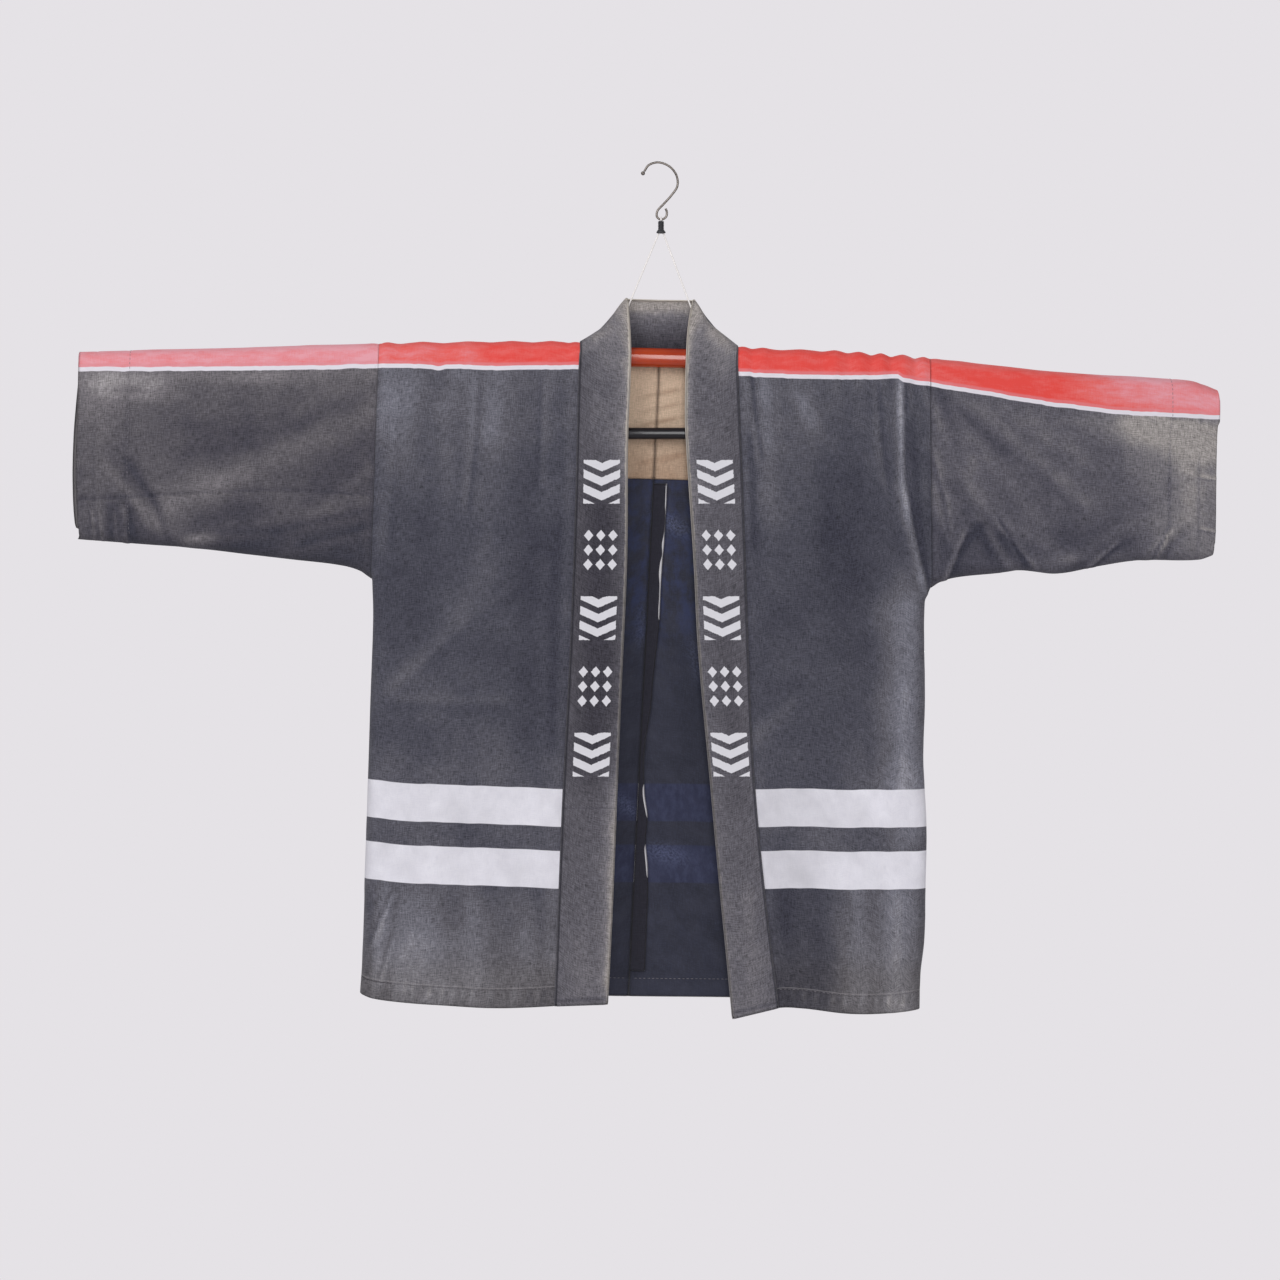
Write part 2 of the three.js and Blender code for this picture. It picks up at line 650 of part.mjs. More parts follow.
// Upright drill through a bar that lies along X
function uprightDrill(x, reach) {
  const tool = new THREE.CylinderGeometry(CORD.hole, CORD.hole, 2 * reach, 12);
  tool.rotateX(Math.PI / 2);
  tool.translate(x, 0, 0);
  return tool;
}

// Round wire or cord along a curve
function wireAlong(curve, radius, sides, steps) {
  const section = new THREE.Shape();
  for (let k = 0; k < sides; k += 1) {
    const angle = (2 * Math.PI * k) / sides;
    const corner = new THREE.Vector2(radius * Math.cos(angle), radius * Math.sin(angle));
    if (k === 0) section.moveTo(corner.x, corner.y);
    else section.lineTo(corner.x, corner.y);
  }
  section.closePath();
  return bareGeometry(new THREE.ExtrudeGeometry(section, { steps, extrudePath: curve, bevelEnabled: false }));
}

function tubeGeometry() {
  const outline = hollowOutline(-TUBE.half, TUBE.half, TUBE.radius, TUBE.bore);
  const drills = [CORD_HOLE.left, CORD_HOLE.right].map((x) => uprightDrill(x, 2 * TUBE.radius));
  return drill(turnedAlongX(outline, 28), drills);
}

function obiBarGeometry() {
  const outline = [
    { along: -OBI_BAR.half, radius: 0 },
    { along: -OBI_BAR.half, radius: OBI_BAR.radius - OBI_BAR.bevel },
    { along: -OBI_BAR.half + OBI_BAR.bevel, radius: OBI_BAR.radius },
    { along: OBI_BAR.half - OBI_BAR.bevel, radius: OBI_BAR.radius },
    { along: OBI_BAR.half, radius: OBI_BAR.radius - OBI_BAR.bevel },
    { along: OBI_BAR.half, radius: 0 },
  ];
  const drills = [CORD_HOLE.left, CORD_HOLE.right].map((x) => uprightDrill(x, 2 * OBI_BAR.radius));
  return drill(turnedAlongX(outline, 20), drills);
}

// The hanger's arm on one side, in its own frame: along +X from the mouth of the tube
function armPieces(side) {
  const arm = ARMS[side];
  const jointAt = arm.joint - TUBE.half;
  const endAt = arm.end - TUBE.half - END_CAP.length;
  const slide = turnedAlongX(hollowOutline(-SLIDE.tucked, jointAt, SLIDE.radius, SLIDE.bore), 20);
  const rod = turnedAlongX([
    { along: jointAt - ROD.tucked, radius: 0 },
    { along: jointAt - ROD.tucked, radius: ROD.radius },
    { along: endAt - LAYER_GAP, radius: ROD.radius },
    { along: endAt - LAYER_GAP, radius: 0 },
  ], 16);
  const cap = turnedAlongX([
    { along: endAt, radius: 0 },
    { along: endAt, radius: END_CAP.radius },
    { along: endAt + 0.6 * END_CAP.length, radius: END_CAP.radius },
    { along: endAt + 0.88 * END_CAP.length, radius: 0.68 * END_CAP.radius },
    { along: endAt + END_CAP.length, radius: 0.3 * END_CAP.radius },
    { along: endAt + END_CAP.length, radius: 0 },
  ], 16);
  return { slide, rod, cap };
}

// Cord from the toggle, through the tube and the lower bar, to its knot
function cordCurve(side) {
  const sign = ARMS[side].sign;
  const hole = CORD_HOLE[side];
  const tubeTop = TUBE.z + TUBE.tilt * hole + TUBE.radius;
  const knotTop = OBI_BAR.z - OBI_BAR.radius - LAYER_GAP;
  const path = new THREE.CurvePath();
  const start = new THREE.Vector3(TOGGLE.x + sign * CORD.spread, 0, TOGGLE.bottom - LAYER_GAP);
  const corner = new THREE.Vector3(hole, 0, tubeTop + CORD.bendAbove);
  const bendStart = corner.clone().lerp(start, CORD.bendShare);
  const bendEnd = new THREE.Vector3(hole, 0, tubeTop - CORD.bendBelow);
  path.add(new THREE.LineCurve3(start, bendStart));
  path.add(new THREE.QuadraticBezierCurve3(bendStart, corner, bendEnd));
  path.add(new THREE.LineCurve3(bendEnd, new THREE.Vector3(hole, 0, knotTop)));
  return path;
}

// Hook of bent wire: ball tip, crook, stem and the eye that the cord hangs from
function hookCurve() {
  const bends = [
    { x: -17.2, z: -8.6 },
    { x: -12.4, z: -1.8 },
    { x: -1.5, z: HOOK.wire },
    { x: 11, z: -3.6 },
    { x: 18.4, z: -13.5 },
    { x: 19.2, z: -25 },
    { x: 12.4, z: -35.5 },
    { x: 4.2, z: -44.6 },
    { x: -2.8, z: -52.6 },
    { x: -3.2, z: -58.8 },
    { x: 1.4, z: HOOK.eyeBottom },
    { x: 6.8, z: -58.8 },
    { x: 7.6, z: -53.4 },
    { x: 6.3, z: -49.8 },
  ];
  const points = bends.map(({ x, z }) => new THREE.Vector3(x, 0, z));
  return new THREE.CatmullRomCurve3(points, false, "centripetal");
}

function toggleGeometry() {
  const profile = [
    { radius: 0, z: TOGGLE.top },
    { radius: TOGGLE.radius, z: TOGGLE.top },
    { radius: TOGGLE.radius, z: TOGGLE.waist },
    { radius: TOGGLE.flare, z: TOGGLE.bottom + TOGGLE.rim },
    { radius: TOGGLE.flare, z: TOGGLE.bottom },
    { radius: 0, z: TOGGLE.bottom },
  ];
  const geometry = new THREE.LatheGeometry(profile.map(({ radius, z }) => new THREE.Vector2(radius, z)), 12);
  geometry.rotateX(Math.PI / 2);
  return bareGeometry(geometry);
}

// Loop of cord through the hook's eye, with both ends in the toggle
function cordLoopCurve() {
  const { eyeBottom } = HOOK;
  const reach = HOOK.wire + LAYER_GAP + CORD.radius;
  const foot = TOGGLE.top + LAYER_GAP;
  const path = new THREE.CurvePath();
  const at = (y, z) => new THREE.Vector3(TOGGLE.x, y, z);
  const control = reach * QUARTER_CIRCLE_CONTROL;
  path.add(new THREE.LineCurve3(at(-reach, foot), at(-reach, eyeBottom)));
  path.add(new THREE.CubicBezierCurve3(
    at(-reach, eyeBottom), at(-reach, eyeBottom + control), at(-control, eyeBottom + reach), at(0, eyeBottom + reach),
  ));
  path.add(new THREE.CubicBezierCurve3(
    at(0, eyeBottom + reach), at(control, eyeBottom + reach), at(reach, eyeBottom + control), at(reach, eyeBottom),
  ));
  path.add(new THREE.LineCurve3(at(reach, eyeBottom), at(reach, foot)));
  return path;
}

const finish = (color, roughness, metalness = 0) => new THREE.MeshStandardMaterial({ color, roughness, metalness });
const materials = {
  indigoCotton: finish("#4a4950", 0.9),
  collarCotton: finish("#5a575e", 0.9),
  tanCotton: finish("#ad937f", 0.9),
  redLacquer: finish("#87361b", 0.2),
  blackLacquer: finish("#1f1b1a", 0.25),
  steel: finish("#6f6863", 0.35, 0.9),
  blackPlastic: finish("#26262b", 0.5),
  whiteCord: finish("#dedbe0", 0.8),
};

const coat = new THREE.Group();

function addPiece(parent, name, geometry, material) {
  const mesh = new THREE.Mesh(geometry, material);
  mesh.name = name;
  parent.add(mesh);
  return mesh;
}

const hemRow = (i) => {
  const fromHem = Math.min(i, 2 * LENGTH_SHARES.length + ARC_ANGLES.length - 1 - i);
  return fromHem < 2 ? HEM_EXTRA : 0;
};

for (const side of ["left", "right"]) {
  addPiece(coat, `body_panel_${side}`, clothWall(bodyPanelRows(side), WALL, hemRow), materials.indigoCotton);
  addPiece(coat, `sleeve_${side}`, clothWall(sleeveRows(side), WALL), materials.indigoCotton);
  addPiece(coat, `yoke_lining_${side}`, clothWall(yokeLiningRows(side), LINING_WALL), materials.tanCotton);
}
addPiece(coat, "collar_band", clothWall(collarRows(), COLLAR_WALL), materials.collarCotton);
addPiece(coat, "back_seam_allowance", clothWall(seamAllowanceRows(), ALLOWANCE_WALL), materials.indigoCotton);

const tube = addPiece(coat, "hanger_tube", tubeGeometry(), materials.redLacquer);
tube.position.set(0, 0, TUBE.z);
tube.rotation.y = -Math.atan(TUBE.tilt);

for (const side of ["left", "right"]) {
  const arm = ARMS[side];
  const frame = new THREE.Group();
  frame.position.set(arm.sign * TUBE.half, 0, TUBE.z + TUBE.tilt * arm.sign * TUBE.half - SLIDE.drop);
  frame.rotation.set(0, Math.atan(arm.droop), 0);
  if (arm.sign < 0) frame.rotation.set(0, Math.PI - Math.atan(arm.droop), 0);
  const pieces = armPieces(side);
  addPiece(frame, `hanger_slide_${side}`, pieces.slide, materials.blackLacquer);
  addPiece(frame, `hanger_rod_${side}`, pieces.rod, materials.blackLacquer);
  addPiece(frame, `hanger_end_${side}`, pieces.cap, materials.blackPlastic);
  coat.add(frame);
}

addPiece(coat, "obi_bar", obiBarGeometry(), materials.blackLacquer).position.set(0, 0, OBI_BAR.z);

for (const side of ["left", "right"]) {
  addPiece(coat, `hanger_cord_${side}`, wireAlong(cordCurve(side), CORD.radius, CORD.sides, 26), materials.whiteCord);
  const knot = bareGeometry(new THREE.SphereGeometry(KNOT.radius, 10, 6));
  const knotZ = OBI_BAR.z - OBI_BAR.radius - 2 * LAYER_GAP - KNOT.radius;
  addPiece(coat, `cord_knot_${side}`, knot, materials.whiteCord).position.set(CORD_HOLE[side], 0, knotZ);
}

addPiece(coat, "cord_loop", wireAlong(cordLoopCurve(), CORD.radius, CORD.sides, 16), materials.whiteCord);
addPiece(coat, "cord_toggle", toggleGeometry(), materials.blackPlastic).position.set(TOGGLE.x, 0, 0);
const hookPath = hookCurve();
addPiece(coat, "hanger_hook", wireAlong(hookPath, HOOK.wire, HOOK.sides, 64), materials.steel);
const tip = bareGeometry(new THREE.SphereGeometry(HOOK.ball, 12, 8));
const tipPlace = hookPath.getPoint(0).addScaledVector(hookPath.getTangent(0), -HOOK.ball - LAYER_GAP);
addPiece(coat, "hook_tip", tip, materials.steel).position.copy(tipPlace);

export default coat;
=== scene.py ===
# A Japanese fireman's short coat of washed indigo cotton, hung flat on a telescopic kimono hanger.
# The coat's tables and surfaces are in millimetres, in the frame's own axes: +Z up, front towards -Y.
# "Left" and "right" are as seen from the front. Meshes are turned to metres when they are made.
import math

import bpy
import numpy as np
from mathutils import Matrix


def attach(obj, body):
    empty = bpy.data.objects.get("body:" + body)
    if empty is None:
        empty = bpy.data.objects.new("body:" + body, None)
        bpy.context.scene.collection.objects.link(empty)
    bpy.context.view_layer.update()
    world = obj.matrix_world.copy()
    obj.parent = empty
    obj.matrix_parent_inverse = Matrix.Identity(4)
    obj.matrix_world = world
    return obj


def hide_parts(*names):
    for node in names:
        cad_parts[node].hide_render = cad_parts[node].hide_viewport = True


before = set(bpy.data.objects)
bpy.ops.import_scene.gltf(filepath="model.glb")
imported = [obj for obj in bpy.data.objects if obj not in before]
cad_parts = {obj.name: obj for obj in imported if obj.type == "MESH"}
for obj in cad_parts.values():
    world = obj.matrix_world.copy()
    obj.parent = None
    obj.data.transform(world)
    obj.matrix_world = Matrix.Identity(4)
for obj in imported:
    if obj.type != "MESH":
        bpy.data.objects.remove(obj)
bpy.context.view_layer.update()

MM = 0.001
BODY = "root"
SIGN = {"left": -1, "right": 1}
OUTWARD = {"front": -1, "back": 1}

# Cloth
WALL = 1.4
PANEL_WALL = 1.0
COLLAR_WALL = 2.6
LINING_WALL = 0.8
ALLOWANCE_WALL = 1.2
SEAM_GAP = 0.4
LAYER_GAP = 0.35
HEM_DEPTH = 20.5
HEM_EXTRA = 0.8
EDGE_FROM_MIDDLE = 0.2
ARC_HEIGHT = 12.5
SIDE_TURN = 16
UNDERARM_TURN = 13
HANGER_FADE = 40
BODY_LENGTH = 720
PANEL_WIDTH = 225
SLEEVE_LENGTH = 330
SLEEVE_DROP = 215
MID_PANEL = 200
NEAR_ARMHOLE = 300
ARC_ROWS = 20
TURN_STEPS = 9
COLLAR_COLUMNS = 19
COLLAR_ARC_ROWS = 22
SPACING = 2.8


def table(columns, *rows):
    """A short table with named columns, in order of its first column."""
    values = np.array(sorted(rows), float)
    return {name: values[:, k] for k, name in enumerate(columns.split())}


# Top edge of the cloth across both sleeves, outside of the fold
SHOULDER = table("x z",
    (-645, -207.8), (-560, -205.6), (-440, -202.2), (-319, -198.8), (-198, -196.8), (-88, -197),
    (88, -202), (110, -204.2), (154, -205.8), (198, -207.4), (242, -211), (297, -215),
    (374, -223), (462, -231.6), (550, -236.8), (585, -239.5), (600, -244), (615, -250))
UNDERARM = {
    "left": table("x z", (-645, -414), (-560, -420.5), (-517, -423.6), (-461, -430.2), (-401.5, -437.1),
        (-352, -443), (-330, -449.5), (-318, -458)),
    "right": table("x z", (299, -468), (310, -461), (330, -456), (374, -451.6), (396, -448.5),
        (440, -452), (484, -444), (528, -437.5), (594, -437), (615, -430)),
}
ARMHOLE = {
    "left": table("z x", (-458, -318), (-198, -309)),
    "right": table("z x", (-468, 299), (-215, 297)),
}
PIT = {"left": -458, "right": -468}
SIDE_SEAM = {
    "left": table("z x", (-460, -318), (-500, -317), (-592, -320), (-735, -324.5), (-878, -329),
        (-914, -331.5)),
    "right": table("z x", (-470, 298), (-484, 292.5), (-592, 293), (-658, 291.2), (-735, 294.6),
        (-800, 293.6), (-856, 292.4), (-895, 288), (-933, 287)),
}
CUFF = {
    "left": {
        "front": table("z x", (-415, -639), (-380, -641.4), (-333, -642.6), (-290, -641), (-210, -639.2)),
        "back": table("z x", (-420, -641), (-410, -643.5), (-395, -648), (-350, -650.2), (-300, -649),
            (-262, -646), (-210, -641)),
    },
    "right": {
        "front": table("z x", (-433, 609.4), (-400, 611), (-340, 611.5), (-292, 613), (-285, 615.5),
            (-240, 615.5)),
        "back": table("z x", (-433, 608), (-300, 611), (-240, 613)),
    },
}
COLLAR_SEAM = {
    "left": table("z x", (-198, -87.5), (-232, -89), (-372, -92.4), (-526, -97.9), (-702, -106.7),
        (-927, -115.5)),
    "right": table("z x", (-202, 85.5), (-232, 85.5), (-372, 91.3), (-592, 98.6), (-690, 104),
        (-800, 114.4), (-929, 130)),
}
COLLAR_FREE = {
    "left": table("z x", (-153, -35.6), (-207, -32.8), (-306, -36.3), (-438, -37.4), (-592, -44),
        (-812, -52.8), (-926, -58.3)),
    "right": table("z x", (-153, 36.4), (-165, 33.8), (-185, 31.2), (-207, 30), (-250, 28.8), (-295, 29),
        (-438, 38), (-537, 43), (-676, 55.5), (-798, 66.5), (-880, 74.5), (-942, 80.3)),
}
FRONT_HEM = {
    "left": table("x z", (-332, -914.5), (-319, -918.5), (-297, -922), (-242, -926.5), (-176, -930),
        (-115, -927.5), (-58, -926)),
    "right": table("x z", (80, -942), (99, -938.5), (131, -929.5), (154, -930), (209, -936),
        (253, -935), (283, -932)),
}
BACK_HEM = table("x z", (-332, -911), (-180, -916), (-58, -919.5), (80, -921), (200, -923), (283, -926))
LAYER_DEPTH = table("z front back", (-940, 20, 17), (-700, 18, 16.5), (-450, 16, 15.5),
    (-260, 14.8, 14.6), (-190, 14.5, 14.5))
FREE_EDGE_DEPTH = table("z depth", (-226, 15.2), (-206, 13.2), (-186, 9.5), (-166, 6), (-153, 3.6))
NECK_SEAM = {"left": -87.5, "right": 85.5}
FAN_START = -240
COLLAR_CORNER = {
    "left": {"x": -36.8, "z": -149.6, "depth": 3.6},
    "right": {"x": 37.4, "z": -151.2, "depth": 3.6},
}
CORNER_CLOSING = 0.3
BACK_CLOSING = 0.3
COLLAR_TOP = {"x": -0.5, "depth": 8, "z": -151}
COLLAR_SAG = table("share left right", (0, 0, 0), (0.2, 3.4, 2.2), (0.45, 6.4, 5.2), (0.62, 4.6, 6.2),
    (0.8, 1.6, 2.4), (1, 0, 0))
BACK_SEAM = {"x": -0.3, "z": -211, "slope": 0.0487}
YOKE_BOTTOM_SHARE = 0.808
YOKE_WIDTH_SHARE = 0.8
LAST_ARC = math.radians(157.5)
# Points nearer to the front than this share of the furthest one tell which way a cloth faces
FRONT_SHARE = 0.7

# Largest folds: a ridge stands out from its layer and a trough lies in, along a line in the cloth
STROKE = "x0 z0 x1 z1 width amount"
FOLDS = {
    "front": table(STROKE,
        (-294, -229, -302, -400, 16, 2.5), (-256, -240, -253, -530, 24, -3),
        (-170, -229, -198, -600, 26, 3), (-138, -290, -146, -680, 18, -2.5),
        (-242, -770, -270, -925, 24, 3), (-176, -790, -170, -930, 22, -2.5),
        (269, -225, 277, -440, 14, 3), (203, -290, 209, -600, 30, -3),
        (266, -500, 262, -680, 20, 2.5), (170, -800, 165, -930, 24, -3),
        (234, -780, 246, -930, 20, 3), (-530, -383, -321, -268, 20, 3.5),
        (-500, -320, -330, -246, 20, -2.5), (330, -268, 473, -378, 20, 3),
        (312, -300, 385, -430, 18, -3)),
    "back": table(STROKE,
        (-210, -260, -230, -640, 30, 3), (-110, -420, -120, -900, 30, -2.5),
        (190, -300, 205, -700, 28, 3), (100, -560, 110, -910, 30, -2.5),
        (-520, -370, -325, -262, 22, 3), (325, -275, 480, -385, 22, 3)),
}

# Finer creases on top of the folds
CREASES = {
    "front": table(STROKE,
        # Left front
        (-112, -240, -116, -420, 5, 1.0), (-286, -262, -292, -380, 5, 0.8),
        (-282, -590, -176, -592, 6, 0.9), (-282, -600, -176, -604, 6, -0.8),
        (-184, -452, -286, -570, 12, 0.9), (-300, -780, -312, -905, 6, 1.3),
        (-290, -800, -300, -915, 5, -1.1), (-318, -820, -322, -910, 5, -0.9),
        (-205, -812, -196, -920, 10, 1.0), (-140, -830, -134, -925, 9, 0.9),
        (-235, -300, -238, -420, 9, 0.8), (-212, -640, -220, -900, 14, -0.9),
        # Right front
        (94, -235, 96, -400, 5, 1.1), (118, -250, 122, -420, 10, 1.2),
        (140, -600, 96, -644, 8, 0.9), (268, -590, 266, -690, 7, 1.0),
        (240, -240, 248, -330, 6, -1.0), (288, -232, 290, -300, 4, -1.0),
        (180, -300, 186, -440, 10, -0.9), (120, -820, 150, -925, 9, 0.9),
        (214, -860, 222, -930, 9, 1.1), (270, -800, 272, -920, 7, -0.8),
        (150, -700, 220, -716, 9, 0.5), (155, -560, 230, -548, 10, 0.5),
        # Left sleeve
        (-605, -345, -576, -375, 8, 1.4), (-598, -330, -560, -372, 7, -1.3),
        (-514, -416, -322, -372, 9, 1.3), (-470, -425, -325, -398, 8, -1.1),
        (-600, -240, -420, -232, 9, 0.9), (-440, -300, -350, -252, 9, 1.0),
        (-560, -400, -500, -415, 7, 1.0), (-400, -415, -330, -345, 8, 0.9),
        (-618, -382, -617, -414, 3.6, 1.0), (-606, -380, -604, -416, 3.6, -1.2),
        (-592, -384, -590, -418, 3.6, 1.3), (-581, -384, -578, -420, 3.6, -1.3),
        (-636, -368, -400, -362, 3.6, -0.5),
        # Right sleeve
        (300, -262, 340, -330, 7, 1.2), (318, -262, 372, -316, 7, -1.0),
        (340, -300, 420, -398, 9, 1.0), (380, -270, 470, -330, 11, 1.2),
        (300, -366, 322, -430, 7, 1.6), (306, -400, 330, -452, 6, -1.5),
        (350, -395, 382, -440, 6, 1.8), (362, -392, 400, -428, 5, -1.4),
        (390, -400, 450, -436, 7, 1.2), (440, -442, 512, -402, 7, 1.2),
        (455, -448, 520, -416, 5, -1.1),
        (540, -432, 568, -404, 5, 1.2), (548, -436, 574, -412, 4, -1.2),
        (560, -290, 610, -318, 6, 0.8), (575, -340, 612, -352, 5, 0.8)),
    "back": table(STROKE,
        (-60, -300, -70, -520, 12, 1.1), (-180, -560, -160, -880, 14, 1.0),
        (-270, -700, -290, -910, 12, 1.4), (-285, -300, -296, -430, 7, 1.2),
        (60, -520, 80, -860, 12, 1.1), (150, -300, 156, -520, 12, -1.0),
        (250, -640, 262, -915, 12, 1.4), (270, -240, 280, -420, 8, 1.4),
        (-600, -330, -560, -376, 8, 1.3), (-500, -416, -330, -372, 9, 1.3),
        (330, -300, 420, -400, 9, 1.3), (350, -395, 382, -440, 6, 1.6),
        (440, -442, 512, -402, 7, 1.2), (540, -432, 568, -404, 5, 1.2)),
}

# Sharp folds, each a width, an amount and the points of its crest. The steep side, with its painted shadow,
# is to the left of a fold that runs down; a negative width puts it to the right, and a negative amount
# makes a groove.
PLEATS = {
    "front": [
        # Left front
        (5, 1.3, (-295, -810), (-314, -856)), (5, 1.1, (-294, -858), (-306, -899)),
        (-9, 0.6, (-292, -262), (-296, -330), (-302, -410)), (-7, 0.9, (-203, -240), (-206, -300),
        (-214, -372)),
        (-12, 0.45, (-166, -470), (-232, -520), (-286, -570)), (7, 0.7, (-126, -250), (-130, -350)),
        # Right front
        (-6.5, 2.4, (265, -243), (266, -349), (276, -398), (291, -467)), (-6, 1.5, (97, -238),
        (101, -280), (107, -320)),
        (-6, 0.8, (236, -240), (240, -300), (247, -352)), (5, 0.4, (128, -245), (131, -300)),
        (16, 0.5, (214, -800), (226, -870), (232, -926)),
        # Left sleeve
        (8, -0.7, (-584, -334), (-566, -358), (-553, -378), (-546, -400)), (9, 0.4, (-598, -346),
        (-580, -368), (-566, -392)),
        (3, -0.7, (-637, -372), (-575, -369), (-500, -364), (-422, -361), (-322, -367)),
        (3.2, 1.2, (-625, -388), (-624, -414)), (3.2, 1.0, (-615.5, -389), (-614, -414)),
        (3.2, 1.1, (-600.6, -388), (-599, -415)), (-3.6, 1.9, (-587, -386), (-585, -417)),
        (9, 0.7, (-330, -392), (-420, -412), (-512, -414)), (7, 0.6, (-326, -408), (-400, -428)),
        (7, 0.5, (-560, -258), (-604, -256)),
        # Right sleeve
        (14, 0.5, (299, -263), (322, -312), (352, -381)), (16, 0.6, (352, -275), (404, -318),
        (458, -365)),
        (-5, 2.2, (334, -412), (325, -436), (315, -457)), (-5, 1.6, (372, -398), (384, -418),
        (396, -440)),
        (-4, 2.0, (500, -422), (475, -443)), (4, 1.6, (560, -408), (546, -437)), (-3, 0.8, (557, -411),
        (538, -428)),
        (5, 1.4, (384, -412), (409, -441)),
        (3, 1.2, (598, -308), (613, -309)), (3, 1.2, (598, -347), (612, -349)), (3, 1.3, (597, -404),
        (611, -407)),
        (6, 1.0, (548, -282), (580, -292), (612, -296)), (5, 1.0, (304, -330), (316, -372), (320, -400)),
    ],
    "back": [
        (7, 1.6, (-292, -250), (-298, -340), (-306, -440)), (8, 1.0, (-200, -250), (-216, -420)),
        (-8, 2.0, (262, -250), (268, -350), (286, -460)), (-8, 1.1, (180, -260), (192, -430)),
        (6, 1.4, (-594, -340), (-560, -376)), (6, 1.2, (-330, -390), (-512, -414)),
        (7, 1.6, (302, -266), (354, -384)), (6, 1.7, (360, -398), (390, -438)),
        (4, 1.5, (500, -420), (476, -446)),
        (-14, 0.8, (-66, -380), (-84, -560), (-118, -690)),
        (16, 0.7, (74, -470), (98, -600), (104, -760)),
        (-10, 0.9, (-150, -800), (-132, -926)), (9, 0.8, (176, -810), (160, -926)),
        (8, 1.0, (-288, -830), (-306, -900)),
    ],
}

# Form of a sharp fold, in shares of its width, and how its crest and its steep side change the tone: the
# crest is painted paler, partly wear and partly painted highlight, and the steep side is painted darker as
# painted shadow
PLEAT = {"reach": 1.6, "steepness": 2.4, "crest": 0.06, "shadow": 0.15, "shadow_place": 0.75,
    "shadow_width": 0.45}

# Gathers over the hanger: each runs down from the crest of the shoulder
GATHERS = table("x width amount",
    (-560, 20, 0.4), (-470, 24, -0.4), (-380, 16, 0.4), (-300, 6, 0.9), (-286, 7, -0.8),
    (-262, 9, 1.1), (-238, 8, -0.9), (-212, 9, 0.8), (-186, 7, -0.7), (-163, 8, 0.9),
    (-140, 7, -0.8), (-120, 7, 1.0), (-100, 5, -1.1), (101, 5, -1.2), (114, 6, 1.3),
    (133, 8, -0.7), (156, 9, 0.9), (178, 6, -0.8), (193, 6, 1.2), (207, 5, -1.2),
    (220, 6, 1.5), (233, 4, -1.4), (244, 5, 1.9), (255, 4, -1.5), (268, 6, 2.0),
    (281, 4, -1.7), (292, 4, 0.9), (330, 12, 0.5), (420, 22, -0.4), (520, 24, 0.4))
GATHER_REACH = 34

# Unevenness of the cloth: height and size of its patches
UNEVENNESS = ((0.5, 46), (0.22, 17), (0.1, 8))
# How far the back's noise is taken from the front's, so that the two differ
BACK_SHIFT = {"relief": 1000, "colour": 500}
SEED = {"panel_left": 5, "panel_right": 9, "sleeve_left": 13, "sleeve_right": 17}
# How much paler the cloth is painted for each millimetre of height: wear and painted light on the crests,
# painted shade in the troughs
CREST_TONE = 0.1

# Lower edge of the red band, where the white line starts
BAND_EDGE = {
    "front": table("x z",
        (-640, -225.6), (-561, -225.6), (-440, -225), (-341, -222.8), (-286, -221.7), (-253, -222.6),
        (-244, -224.4), (-235, -223),
        (-176, -224.6), (-87, -223.6), (85, -230.5), (98, -230.6), (104, -232),
        (154, -233.7), (220, -234.8), (262, -234), (267, -237.6), (297, -241.8), (330, -248),
        (374, -254.7), (418, -262.4), (462, -267.9), (506, -273.4),
        (572, -276.7), (615, -279)),
    "back": table("x z",
        (-640, -232), (-440, -229), (-300, -224), (-100, -224), (100, -229), (297, -238),
        (420, -243), (520, -247), (615, -256)),
}
WHITE_LINE = 4.7

# Top line of the upper hem stripe
STRIPE_TOP = {
    "front": table("x z", (-327, -678), (-286, -682.6), (-242, -684.8), (-154, -688), (-110, -690),
        (110, -690.3), (154, -689.2), (198, -690.7), (290, -690.2)),
    "back": table("x z", (-327, -678), (-150, -684), (0, -685), (150, -688), (290, -691.4)),
}
STRIPE_HEIGHT = 41.5
STRIPE_PITCH = 68

# How washed out the cloth is by height, from 0 for full indigo to 1 for pale grey
TONE = {
    "panel_left": table("z tone", (-232, 0.46), (-290, 0.41), (-350, 0.28), (-450, 0.21), (-600, 0.25),
        (-680, 0.36), (-745, 0.37), (-800, 0.45), (-860, 0.6), (-900, 0.62), (-915, 0.55), (-930, 0.53)),
    "panel_right": table("z tone", (-240, 0.42), (-290, 0.37), (-350, 0.25), (-450, 0.19), (-600, 0.21),
        (-690, 0.29), (-745, 0.36), (-800, 0.35), (-880, 0.36), (-915, 0.34), (-935, 0.36)),
    "panel_back": table("z tone", (-236, 0.44), (-290, 0.38), (-350, 0.27), (-450, 0.2), (-600, 0.23),
        (-690, 0.32), (-745, 0.37), (-800, 0.4), (-880, 0.48), (-915, 0.5), (-935, 0.5)),
    "sleeve_left": table("z tone", (-230, 0.52), (-255, 0.42), (-290, 0.28), (-350, 0.25), (-400, 0.17),
        (-440, 0.1)),
    "sleeve_right": table("z tone", (-250, 0.43), (-300, 0.42), (-350, 0.39), (-400, 0.32), (-450, 0.27)),
    "collar": table("z tone", (-150, 0.66), (-200, 0.5), (-300, 0.48), (-450, 0.38), (-600, 0.38),
        (-800, 0.46), (-940, 0.52)),
    "collar_back": table("z tone", (-210, 0.02), (-198, 0.16), (-180, 0.44), (-162, 0.72), (-148, 0.84)),
}
